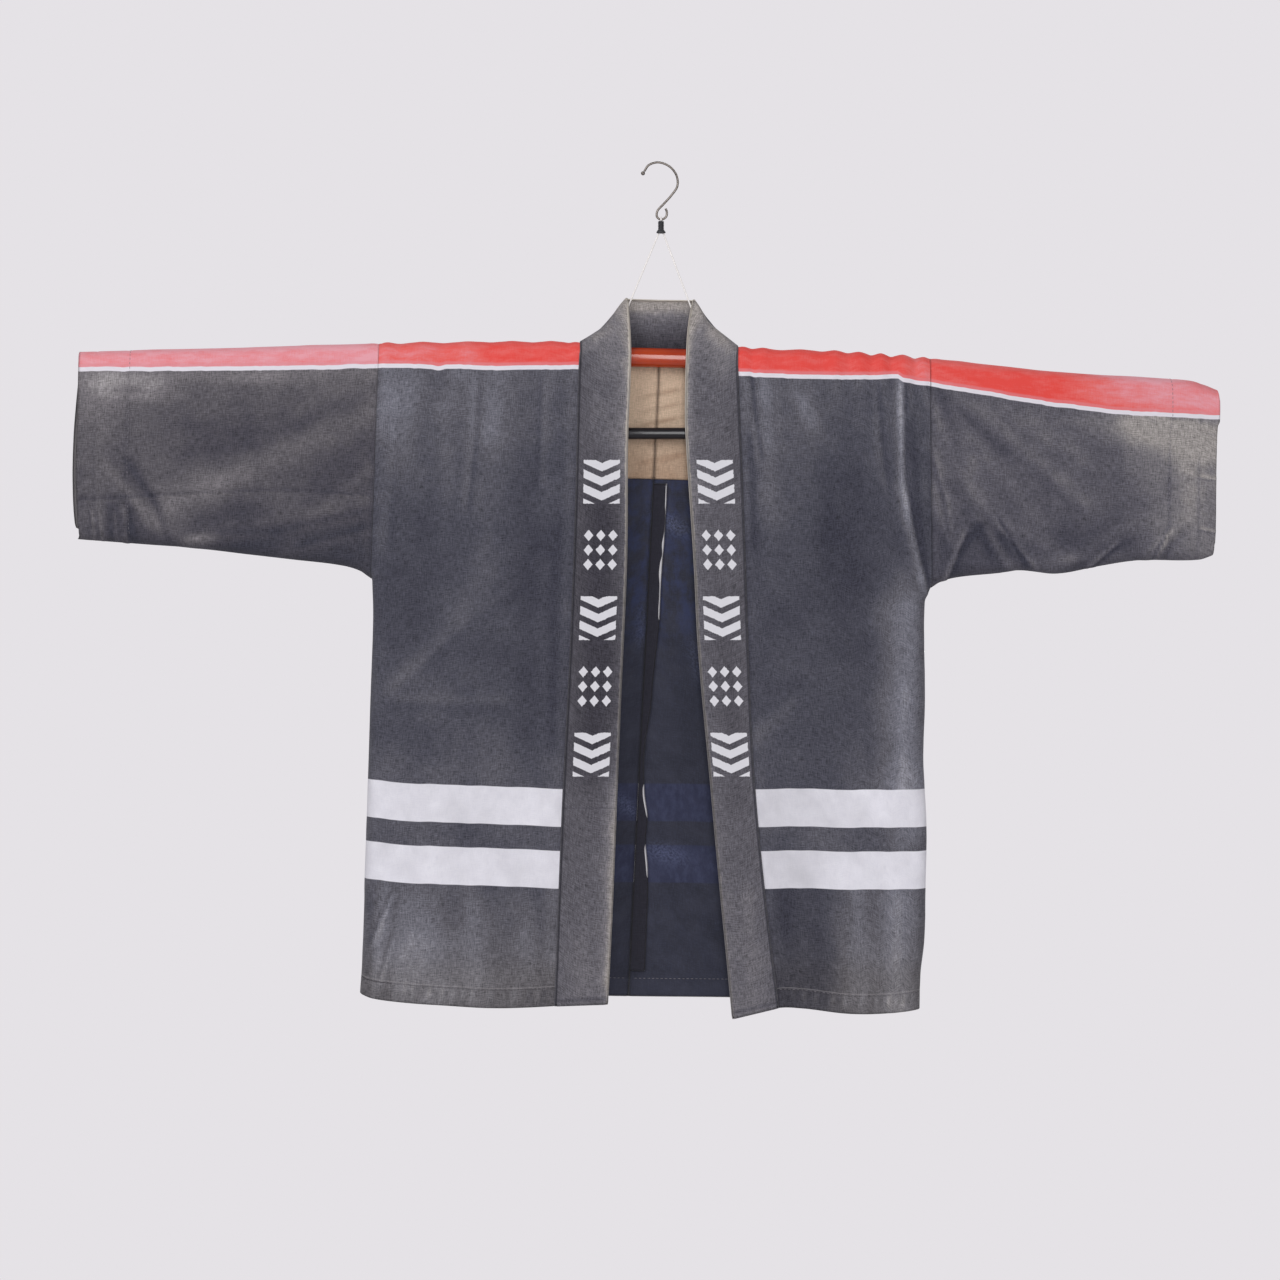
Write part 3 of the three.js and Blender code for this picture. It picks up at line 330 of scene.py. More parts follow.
# Strokes that change the tone: washed-out fading, and also painted light and painted shade: pale lines on
# crests, dark sides of creases and folds, shadow beside the collar's seams, light along the turned side
# edges and dark pockets under the right arm
FADE_AND_SHADE_STROKES = {
    "front": table(STROKE,
        # Left front
        (-288, -244, -284, -312, 20, 0.16), (-256, -310, -253, -530, 22, -0.07),
        (-278, -257, -278, -300, 11, 0.12), (-185, -240, -186, -282, 14, 0.15),
        (-228, -236, -236, -264, 12, 0.14),
        (-182, -300, -196, -430, 20, 0.12), (-140, -330, -144, -640, 18, -0.12),
        (-112, -250, -118, -640, 7, -0.18), (-270, -850, -265, -900, 34, 0.16),
        (-180, -800, -172, -860, 40, -0.1), (-318, -800, -326, -900, 8, -0.1),
        (-226, -520, -286, -575, 14, 0.05),
        (-235, -600, -190, -650, 30, 0.08), (-212, -805, -214, -880, 12, 0.13),
        (-134, -800, -132, -915, 11, -0.2),
        # Right front
        (116, -262, 120, -350, 18, 0.13), (160, -272, 170, -292, 11, 0.26),
        (176, -330, 150, -380, 22, 0.06),
        (205, -300, 208, -460, 26, -0.14), (264, -248, 268, -400, 4, 0.16),
        (272, -400, 284, -455, 4, 0.14), (276, -290, 288, -440, 6, -0.2),
        (273, -500, 273, -700, 22, 0.52), (246, -500, 250, -680, 14, 0.14),
        (97, -238, 103, -420, 5, -0.2), (270, -280, 272, -390, 4, 0.2),
        (172, -805, 174, -905, 20, -0.24), (134, -800, 138, -915, 19, -0.34),
        (212, -805, 214, -915, 17, 0.2),
        (262, -812, 264, -925, 22, 0.48), (140, -600, 96, -644, 12, 0.1),
        # Left sleeve
        (-608, -246, -562, -250, 14, 0.26), (-600, -236, -420, -236, 7, 0.14),
        (-590, -290, -560, -340, 34, 0.14), (-500, -352, -400, -372, 22, 0.1),
        (-517, -417, -475, -398, 6, 0.12), (-470, -240, -330, -232, 10, 0.08),
        (-622, -262, -622, -400, 26, 0.2),
        (-535, -380, -330, -276, 20, 0.25), (-440, -306, -330, -262, 18, -0.16),
        (-580, -340, -552, -384, 8, -0.16), (-540, -392, -520, -408, 16, 0.1),
        (-560, -416, -330, -440, 16, -0.06), (-596, -386, -580, -414, 7, -0.16),
        # Right sleeve
        (540, -292, 590, -304, 22, 0.46), (596, -322, 600, -430, 24, 0.34),
        (545, -330, 558, -392, 34, 0.26),
        (303, -248, 330, -324, 8, -0.24), (312, -322, 402, -434, 11, 0.13),
        (300, -280, 356, -364, 10, 0.04), (344, -276, 460, -366, 13, 0.06),
        (430, -278, 520, -296, 14, 0.12), (574, -318, 580, -376, 16, 0.18),
        (331, -428, 350, -404, 4, -0.4), (352, -404, 362, -426, 6, -0.3),
        (376, -414, 398, -441, 5, -0.36), (430, -438, 500, -434, 6, 0.12)),
    "back": table(STROKE,
        (-210, -260, -230, -640, 30, 0.16), (190, -300, 205, -700, 28, 0.16),
        (-294, -240, -300, -400, 14, 0.18), (272, -240, 276, -440, 12, 0.22),
        (-270, -850, -265, -900, 34, 0.16), (240, -840, 246, -915, 30, 0.22),
        (-640, -240, -460, -236, 18, 0.24), (-535, -380, -330, -276, 20, 0.2),
        (-632, -260, -632, -400, 16, 0.26), (500, -286, 612, -300, 30, 0.4),
        (612, -300, 612, -430, 14, 0.32), (330, -270, 460, -372, 16, 0.2)),
    "collar": table(STROKE,
        (-50, -168, -58, -214, 14, 0.12), (46, -168, 66, -206, 20, 0.24),
        (-66, -190, -84, -204, 10, 0.24),
        (66, -190, 80, -206, 10, 0.2), (40, -215, 36, -330, 8, -0.1), (-84, -225, -84, -330, 6, -0.1),
        (-49, -690, -57, -905, 7, 0.3), (-86, -850, -90, -900, 20, 0.1),
        (80, -215, 84, -330, 6, -0.1), (-64, -390, -70, -640, 24, -0.42), (-56, -640, -60, -800, 8, 0.1),
        (100, -560, 108, -760, 9, 0.08), (70, -480, 84, -700, 8, -0.08), (98, -820, 104, -935, 14, 0.1)),
}

# Painted shade on the white stripes, greyer where creases and folds shade them, and painted light, paler,
# where the amount is negative
SHADES = table(STROKE, (132, -690, 134, -735, 44, 0.09), (134, -758, 136, -800, 42, 0.05),
    (244, -690, 246, -800, 40, -0.05),
    (288, -690, 290, -800, 7, -0.12), (158, -693, 186, -731, 7, 0.05), (205, -693, 226, -731, 7, 0.04),
    (138, -766, 172, -800, 8, 0.05), (215, -765, 246, -800, 7, 0.045), (-250, -684, -222, -726, 8, 0.04),
    (-300, -752, -270, -794, 8, 0.04), (-180, -756, -158, -798, 8, 0.04))

# Where the red band is washed out to pink
PINKS = {
    "panel": table(STROKE, (-308, -210, -272, -212, 12, 0.32), (-215, -203, -205, -215, 12, 0.2),
        (-250, -206, -230, -212, 10, 0.18), (-300, -222, 290, -234, 3, 0.16),
        (280, -216, 296, -240, 12, 0.3), (-300, -212, -90, -206, 24, 0.14),
        (90, -214, 290, -224, 24, 0.08)),
    "sleeve": table(STROKE, (-645, -215, -330, -212, 60, 0.82), (-640, -206, -330, -203, 4, 0.2),
        (-330, -222, -312, -215, 10, 0.2), (540, -240, 615, -256, 34, 0.66),
        (470, -256, 600, -268, 12, 0.3), (300, -216, 560, -238, 9, 0.36),
        (300, -240, 330, -246, 9, 0.25)),
}


def curve(rows, key, column, at):
    """Smooth curve through one column of a table, held level beyond its ends."""
    x, y = rows[key], rows[column]
    at = np.clip(at, x[0], x[-1])
    i = np.clip(np.searchsorted(x, at, side="right") - 1, 0, len(x) - 2)
    before = np.maximum(i - 1, 0)
    after = np.minimum(i + 2, len(x) - 1)
    span = x[i + 1] - x[i]
    slope_start = (y[i + 1] - y[before]) / (x[i + 1] - x[before]) * span
    slope_end = (y[after] - y[i]) / (x[after] - x[i]) * span
    t = (at - x[i]) / span
    return (y[i] * (2 * t**3 - 3 * t**2 + 1) + slope_start * (t**3 - 2 * t**2 + t)
        + y[i + 1] * (3 * t**2 - 2 * t**3) + slope_end * (t**3 - t**2))


def mix(start, end, share):
    return start + (end - start) * share


def turn(share):
    """Quarter ellipse: 0 at the edge, 1 where the turn ends."""
    return np.sqrt(1 - (1 - np.clip(share, 0, 1)) ** 2)


def bump(distance, width):
    """Soft bump: 1 in its middle and 0 far from it."""
    return np.exp(-(distance / width) ** 2)


def from_line(x, z, x0, z0, x1, z1):
    """How far points lie beside a line, and how far beyond its ends."""
    dx, dz = x1 - x0, z1 - z0
    length = math.hypot(dx, dz)
    along = ((x - x0) * dx + (z - z0) * dz) / length
    across = ((x - x0) * dz - (z - z0) * dx) / length
    return across, np.maximum(0, np.maximum(-along, along - length))


def strokes(rows, x, z):
    """Sum of soft strokes at points of the cloth: each runs along its line and fades out beside it."""
    total = np.zeros(np.broadcast(x, z).shape)
    for *line, width, amount in zip(*(rows[name] for name in STROKE.split())):
        across, beyond = from_line(x, z, *line)
        total += amount * np.exp(-(across / width) ** 2 - (beyond / (2 * width)) ** 2)
    return total


def pleats(lines, x, z):
    """Height and painted shade of sharp folds: a pale crest, partly worn and partly a painted highlight,
    with a steep side in painted shadow.
    """
    height, shade = np.zeros(x.shape), np.zeros(x.shape)
    for width, amount, *points in lines:
        nearest, across, beyond = np.full(x.shape, np.inf), np.zeros(x.shape), np.zeros(x.shape)
        for start, end in zip(points, points[1:]):
            beside, over = from_line(x, z, *start, *end)
            distance = np.hypot(beside, over)
            closer = distance < nearest
            nearest = np.where(closer, distance, nearest)
            across, beyond = np.where(closer, beside, across), np.where(closer, over, beyond)
        t = across / width
        reach = amount * bump(beyond, PLEAT["reach"] * width)
        height += reach * np.exp(-np.where(t > 0, PLEAT["steepness"] * t, t) ** 2)
        crest = PLEAT["crest"] * np.exp(-(PLEAT["reach"] * t) ** 2)
        shadow = PLEAT["shadow"] * bump(t - PLEAT["shadow_place"], PLEAT["shadow_width"])
        shade += reach * (crest - shadow)
    return height, shade


def both_layers(is_front, values):
    """What a function of the layer gives, the front's in the front rows and the back's in the others."""
    return np.where(is_front, values("front"), values("back"))


def soft_noise(u, v, size, seed):
    """Smooth seeded noise from -1 to 1, in patches of about that size."""
    lattice = np.random.default_rng(seed).uniform(-1, 1, (64, 64))
    i, j = np.floor(u / size).astype(int), np.floor(v / size).astype(int)
    s, t = u / size - i, v / size - j
    s, t = s * s * (3 - 2 * s), t * t * (3 - 2 * t)
    low = mix(lattice[i % 64, j % 64], lattice[(i + 1) % 64, j % 64], s)
    high = mix(lattice[i % 64, (j + 1) % 64], lattice[(i + 1) % 64, (j + 1) % 64], s)
    return mix(low, high, t)


def shoulder_middle(x):
    return curve(SHOULDER, "x", "z", x) - WALL / 2


def arc_base(x):
    return shoulder_middle(x) - ARC_HEIGHT


def layer_depth(layer, x, z):
    """Half depth of the hanging cloth; the folds fade out where the cloth lies on the hanger."""
    below = np.clip((arc_base(x) - z) / HANGER_FADE, 0, 1)
    return curve(LAYER_DEPTH, "z", layer, z) + strokes(FOLDS[layer], x, z) * below


def arc_points(x, angle):
    """The cloth's middle surface where it turns over the hanger, from front at 0 to back at pi."""
    base = arc_base(x)
    depth = np.where(angle < math.pi / 2, curve(LAYER_DEPTH, "z", "front", base),
        curve(LAYER_DEPTH, "z", "back", base))
    return grid_points(x, -depth * np.cos(angle), base + ARC_HEIGHT * np.sin(angle))


def grid_points(x, y, z):
    return np.stack(np.broadcast_arrays(x, y, z), axis=-1)


def armhole_x(side, z):
    top_z, bottom_z = ARMHOLE[side]["z"][1], ARMHOLE[side]["z"][0]
    top_x, bottom_x = ARMHOLE[side]["x"][1], ARMHOLE[side]["x"][0]
    return mix(top_x, bottom_x, (z - top_z) / (bottom_z - top_z))


def panel_outer_x(side, z):
    line = np.where(z >= PIT[side], armhole_x(side, z), curve(SIDE_SEAM[side], "z", "x", z))
    step_in = SEAM_GAP / 2 + (WALL / 2) * (1 - turn((z - PIT[side]) / UNDERARM_TURN))
    return line - SIGN[side] * step_in


def panel_inner_x(side, layer, z):
    seam = SIGN[side] * SEAM_GAP / 2
    if layer == "front":
        return curve(COLLAR_SEAM[side], "z", "x", z) + seam
    return BACK_SEAM["x"] + (z - BACK_SEAM["z"]) * BACK_SEAM["slope"] + seam * 0.1


def panel_depth(side, layer, x, z, from_edge):
    """A body panel turns in to the middle plane at its side seam and follows the sleeve above it."""
    depth = layer_depth(layer, x, z)
    edge = EDGE_FROM_MIDDLE + (depth - EDGE_FROM_MIDDLE) * turn((z - PIT[side]) / UNDERARM_TURN)
    return edge + (depth - edge) * turn(from_edge / SIDE_TURN)


def hem_z(side, layer, x):
    return curve(FRONT_HEM[side] if layer == "front" else BACK_HEM, "x", "z", x)


def shares(length, turned=0.0):
    """Even shares of a length, with the last part sampled by angle where the cloth turns in."""
    count = max(3, round(length / SPACING))
    flat = np.linspace(0, 1 - turned, count)
    if turned == 0:
        return flat
    angles = np.linspace(0, math.pi / 2, TURN_STEPS + 1)[1:]
    return np.concatenate([flat, 1 - turned * (1 - np.sin(angles))])


def arc_angles():
    """Angles of the cloth's rows over the hanger, one below the other."""
    return np.linspace(0, math.pi, ARC_ROWS)[1:-1][:, None]


def panel_grid(side):
    """Middle surface of a body panel: one length from the front hem over the shoulder to the back hem."""
    sign = SIGN[side]
    across = shares(PANEL_WIDTH, SIDE_TURN / PANEL_WIDTH)[None, :]
    up = shares(BODY_LENGTH)[:, None]

    def flat(layer):
        z = mix(hem_z(side, layer, sign * MID_PANEL), arc_base(sign * MID_PANEL), up) + 0 * across
        x = mix(panel_inner_x(side, layer, z), panel_outer_x(side, z), across)
        z = mix(hem_z(side, layer, x), arc_base(x), up)
        outer = panel_outer_x(side, z)
        x = mix(panel_inner_x(side, layer, z), outer, across)
        return grid_points(x, OUTWARD[layer] * panel_depth(side, layer, x, z, abs(outer - x)), z)

    seam = sign * SEAM_GAP / 2
    arc_outer = armhole_x(side, arc_base(sign * NEAR_ARMHOLE)) - seam
    arc = arc_points(mix(NECK_SEAM[side] + seam, arc_outer, across), arc_angles())
    return np.concatenate([flat("front"), arc, flat("back")[::-1]])


def sleeve_grid(side):
    """Middle surface of a sleeve: a tube folded at the top and closed by its underarm seam."""
    sign = SIGN[side]
    gap = sign * SEAM_GAP / 2
    across = shares(SLEEVE_LENGTH)[None, :]
    up = shares(SLEEVE_DROP)[:, None]
    angles = np.linspace(0, math.pi / 2, TURN_STEPS)[:-1][:, None]

    def x_at(layer, z):
        return mix(armhole_x(side, z) + gap, curve(CUFF[side][layer], "z", "x", z), across)

    def bottom_at(x):
        return curve(UNDERARM[side], "x", "z", x)

    def turned(layer):
        x = x_at(layer, bottom_at(x_at(layer, PIT[side])))
        z = bottom_at(x) + UNDERARM_TURN * (1 - np.cos(angles))
        depth = mix(EDGE_FROM_MIDDLE, layer_depth(layer, x, z), np.sin(angles))
        return grid_points(x, OUTWARD[layer] * depth, z)

    def flat(layer):
        x = x_at(layer, mix(PIT[side], ARMHOLE[side]["z"][1], up))
        z = mix(bottom_at(x) + UNDERARM_TURN, arc_base(x), up)
        x = x_at(layer, z)
        return grid_points(x, OUTWARD[layer] * layer_depth(layer, x, z), z)

    cuff = mix(CUFF[side]["front"]["x"][-1], CUFF[side]["back"]["x"][-1], arc_angles() / math.pi)
    armhole = armhole_x(side, arc_base(sign * NEAR_ARMHOLE)) + gap
    arc = arc_points(mix(armhole, cuff, across), arc_angles())
    return np.concatenate([turned("front"), flat("front"), arc, flat("back")[::-1], turned("back")[::-1]])


def collar_half_grid(side):
    """One half of the collar's middle surface, from the lapel's bottom to the centre of the neck."""
    sign = SIGN[side]
    rise = (COLLAR_WALL - WALL) / 2
    corner = COLLAR_CORNER[side]
    across = np.linspace(0, 1, COLLAR_COLUMNS)[None, :]
    up = shares(BODY_LENGTH)[:, None]
    seam_hem = curve(FRONT_HEM[side], "x", "z", COLLAR_SEAM[side]["x"][0])
    free_hem = COLLAR_FREE[side]["z"][0]
    seam_top = arc_base(NECK_SEAM[side])

    seam_z = mix(seam_hem, seam_top, up)
    free_z = np.where(seam_z < FAN_START,
        mix(free_hem, FAN_START, (seam_z - seam_hem) / (FAN_START - seam_hem)),
        mix(FAN_START, corner["z"] - corner["depth"], (seam_z - FAN_START) / (seam_top - FAN_START)))
    x = mix(curve(COLLAR_SEAM[side], "z", "x", seam_z) - sign * SEAM_GAP,
        curve(COLLAR_FREE[side], "z", "x", free_z), across)
    z = mix(seam_z, free_z, across)
    resting = layer_depth("front", x, np.minimum(z, seam_top)) + rise
    free_depth = np.minimum(resting, curve(FREE_EDGE_DEPTH, "z", "depth", free_z))
    sag = curve(COLLAR_SAG, "share", side, across)[..., None] * np.array([-sign, 0, -1]) * math.sqrt(0.5)
    near_fold = np.clip((seam_z - FAN_START) / (seam_top - FAN_START), 0, 1)[..., None] ** 1.5
    front = grid_points(x, -mix(resting, free_depth, across), z) + sag * near_fold

    def between(seam, free):
        return seam + (free - seam) * across[..., None]

    def seam_arc(angle):
        points = arc_points(NECK_SEAM[side] - sign * SEAM_GAP + 0 * angle, angle)
        return points + grid_points(0 * angle, -rise * np.cos(angle), rise * np.sin(angle))

    def free_arc(angle):
        closing = CORNER_CLOSING * corner["depth"] * (1 - np.sin(angle))
        return grid_points(corner["x"] - sign * closing, -corner["depth"] * np.cos(angle),
            corner["z"] - np.where(angle < math.pi / 2, closing, BACK_CLOSING * closing))

    share = np.linspace(0, 1, COLLAR_ARC_ROWS)[1:][:, None]
    fold = between(seam_arc(LAST_ARC * share), free_arc(math.pi * share))
    share = share[..., None]
    fold = fold + sag * (1 - share**4)
    base_z = arc_base(0)
    seam_start = seam_arc(np.array([[LAST_ARC]])) + np.array([0, 0, SEAM_GAP])
    seam_end = np.array([panel_inner_x(side, "back", base_z) - sign * SEAM_GAP / 2,
        layer_depth("back", 0, base_z) + rise, base_z + SEAM_GAP])
    free_end = np.array([COLLAR_TOP["x"], COLLAR_TOP["depth"], COLLAR_TOP["z"]])
    back = between(mix(seam_start, seam_end, share), mix(free_arc(np.array([[math.pi]])), free_end, share))
    return np.concatenate([front, fold, back])


def collar_grid():
    """The whole collar is one strip: up one lapel, round the back of the neck and down the other."""
    left, right = collar_half_grid("left"), collar_half_grid("right")
    return np.concatenate([left, right[::-1][1:]])


def add_object(name, data):
    thing = bpy.data.objects.new(name, data)
    bpy.context.scene.collection.objects.link(thing)
    return thing


def add_piece(name, vertices, faces, materials):
    """A smooth mesh object in metres, from points in millimetres."""
    mesh = bpy.data.meshes.new(name)
    mesh.from_pydata((vertices * MM).tolist(), [], faces)
    for material in materials:
        mesh.materials.append(material)
    mesh.polygons.foreach_set("use_smooth", np.ones(len(mesh.polygons), bool))
    return add_object(name, mesh)


def unit(vectors):
    return vectors / np.maximum(np.linalg.norm(vectors, axis=-1, keepdims=True), 1e-9)


def sheet_normals(grid):
    """Normals of a grid of points, turned so that the front of the cloth faces -Y."""
    normals = unit(np.cross(np.gradient(grid, axis=0), np.gradient(grid, axis=1)))
    front = grid[..., 1] < grid[..., 1].min() * FRONT_SHARE
    if front.any() and normals[front][:, 1].mean() > 0:
        normals = -normals
    return normals


def border(rows, columns):
    """Row and column of each point round the edge of a grid, once round."""
    i = np.concatenate([np.zeros(columns - 1), np.arange(rows - 1), np.full(columns - 1, rows - 1),
        np.arange(rows - 1, 0, -1)]).astype(int)
    j = np.concatenate([np.arange(columns - 1), np.full(rows - 1, columns - 1),
        np.arange(columns - 1, 0, -1), np.zeros(rows - 1)]).astype(int)
    return i, j


def ring_quads(rings, sides, closed=False):
    """Quads between rings of points, and from the last ring back to the first if closed."""
    k, m = np.meshgrid(np.arange(rings if closed else rings - 1), np.arange(sides), indexing="ij")
    low, high, beside = k * sides, (k + 1) % rings * sides, (m + 1) % sides
    return np.stack([low + m, low + beside, high + beside, high + m], axis=-1).reshape(-1, 4)


def make_mesh(name, vertices, quads, materials, face_materials=None, triangles=()):
    """A closed piece from points in millimetres, with its faces turned out."""
    quads = np.asarray(quads).reshape(-1, 4)
    triangles = np.asarray(triangles, int).reshape(-1, 3)
    volume = 0
    for corners in (quads[:, [0, 1, 2]], quads[:, [0, 2, 3]], triangles):
        a, b, c = (vertices[corners[:, k]] for k in range(3))
        volume += np.einsum("ij,ij->i", a, np.cross(b, c)).sum()
    if volume < 0:
        quads, triangles = quads[:, ::-1], triangles[:, ::-1]
    piece = add_piece(name, vertices, quads.tolist() + triangles.tolist(), materials)
    if face_materials is not None:
        piece.data.polygons.foreach_set("material_index", face_materials)
    piece.data.update()
    return piece


def add_attribute(piece, name, values):
    attribute = piece.data.attributes.new(name, "FLOAT", "POINT")
    attribute.data.foreach_set("value", np.asarray(values, np.float32))


def add_uv(piece, u, v):
    """A UV map in metres of cloth, from one pair for each vertex."""
    layer = piece.data.uv_layers.new(name="cloth")
    corners = np.empty(len(piece.data.loops), int)
    piece.data.loops.foreach_get("vertex_index", corners)
    layer.data.foreach_set("uv", (np.stack([u[corners], v[corners]], axis=1) * MM).ravel())


def cloth_lengths(grid):
    """Lengths along the cloth of a grid's points, from its middle row and its first column."""
    along = np.linalg.norm(np.diff(grid, axis=0), axis=2).cumsum(axis=0)
    along = np.concatenate([np.zeros((1, grid.shape[1])), along])
    across = np.linalg.norm(np.diff(grid, axis=1), axis=2).cumsum(axis=1)
    across = np.concatenate([np.zeros((grid.shape[0], 1)), across], axis=1)
    return across, along - along[len(along) // 2]


def shell(name, grid, wall, materials, attributes, extra_inside=0.0, rim_steps=1):
    """A closed thin wall on both sides of a grid, with a rounded rim and the cloth's attributes."""
    rows, columns = grid.shape[:2]
    normals = sheet_normals(grid)
    extra = np.broadcast_to(np.asarray(extra_inside, float), (rows, columns))[..., None]
    outer = grid + normals * wall / 2
    inner = grid - normals * (wall / 2 + extra)
    i, j = border(rows, columns)
    inward_i = np.clip(i, 1, rows - 2)
    inward_j = np.clip(j, 1, columns - 2)
    away = unit(grid[i, j] - grid[inward_i, inward_j])
    middle = (outer[i, j] + inner[i, j]) / 2
    half = (outer[i, j] - inner[i, j]) / 2
    reach = np.linalg.norm(half, axis=1, keepdims=True)
    angles = np.pi * np.arange(1, rim_steps + 1) / (rim_steps + 1)
    rims = [middle + half * math.cos(a) + away * reach * math.sin(a) for a in angles]
    vertices = np.concatenate([outer.reshape(-1, 3), inner.reshape(-1, 3), *rims])

    index = np.arange(rows * columns).reshape(rows, columns)
    corners = [index[:-1, :-1], index[1:, :-1], index[1:, 1:], index[:-1, 1:]]
    quads = np.stack(corners, axis=-1).reshape(-1, 4)
    outer_edge = index[i, j]
    inner_edge = outer_edge + rows * columns
    rings = [outer_edge]
    for step in range(rim_steps):
        rings.append(2 * rows * columns + step * len(i) + np.arange(len(i)))
    rings.append(inner_edge)
    rim_quads = [np.stack([low, np.roll(low, -1), np.roll(high, -1), high], axis=-1)
        for low, high in zip(rings, rings[1:])]
    faces = np.concatenate([quads, quads[:, ::-1] + rows * columns, *[ring[:, ::-1] for ring in rim_quads]])
    face_materials = np.zeros(len(faces), np.int32)
    face_materials[len(quads):2 * len(quads)] = len(materials) - 1
    piece = make_mesh(name, vertices, faces, materials, face_materials)

    def everywhere(values):
        edge = values[i, j]
        return np.concatenate([values.ravel(), values.ravel(), *[edge] * rim_steps])

    across, along = cloth_lengths(grid)
    add_uv(piece, everywhere(across), everywhere(along))
    for attribute, values in attributes.items():
        add_attribute(piece, attribute, everywhere(np.broadcast_to(values, (rows, columns))))
    return piece


def gathers(x, z):
    """Small gathers that run down from the crest of the shoulder."""
    reach = np.exp(-np.maximum(0, arc_base(x) - z) / GATHER_REACH)
    total = np.zeros_like(x)
    for middle, width, amount in zip(GATHERS["x"], GATHERS["width"], GATHERS["amount"]):
        total += amount * bump(x - middle, width)
    return total * reach


def relief(grid, is_front, seed):
    """Creases, gathers and slight unevenness of the cloth, as height over its middle surface."""
    x, z = grid[..., 0], grid[..., 2]
    below = np.clip((arc_base(x) - z) / HANGER_FADE, 0, 1)
    creases = both_layers(is_front, lambda layer: strokes(CREASES[layer], x, z))
    creases += both_layers(is_front, lambda layer: pleats(PLEATS[layer], x, z)[0])
    along = x + np.where(is_front, 0, BACK_SHIFT["relief"])
    uneven = sum(amount * soft_noise(along, z, size, seed + k)
        for k, (amount, size) in enumerate(UNEVENNESS))
    return creases * below + gathers(x, z) + uneven * (0.3 + 0.7 * below)


def displace(grid, height):
    return grid + sheet_normals(grid) * height[..., None]


def cloth_attributes(kind, grid, is_front):
    """What the cloth's material needs to know at each point, in millimetres or as a share."""
    x, z = grid[..., 0], grid[..., 2]
    kinds = {"front": kind, "back": "panel_back" if kind.startswith("panel") else kind}
    # The tone holds the washed-out fading and also the painted light and shade of creases and folds
    tone = both_layers(is_front, lambda layer: curve(TONE[kinds[layer]], "z", "tone", z)
        + strokes(FADE_AND_SHADE_STROKES[layer], x, z) + pleats(PLEATS[layer], x, z)[1])
    shift = np.where(is_front, 0, BACK_SHIFT["colour"])
    band = both_layers(is_front, lambda layer: curve(BAND_EDGE[layer], "x", "z", x))
    band = band + 0.5 * soft_noise(x, shift, 16, 71) + 0.3 * soft_noise(x, 0 * z, 5, 72)
    stripe = both_layers(is_front, lambda layer: curve(STRIPE_TOP[layer], "x", "z", x))
    stripe = stripe + 0.4 * soft_noise(x, shift, 14, 73)
    pink = strokes(PINKS[kind.split("_")[0]], x, z)
    shade = np.where(is_front, strokes(SHADES, x, z), 0)
    return {"tone": tone, "band": band - z, "stripe": stripe - z, "pink": pink, "shade": shade}


def is_front_row(rows):
    return (np.arange(rows) < rows / 2)[:, None]


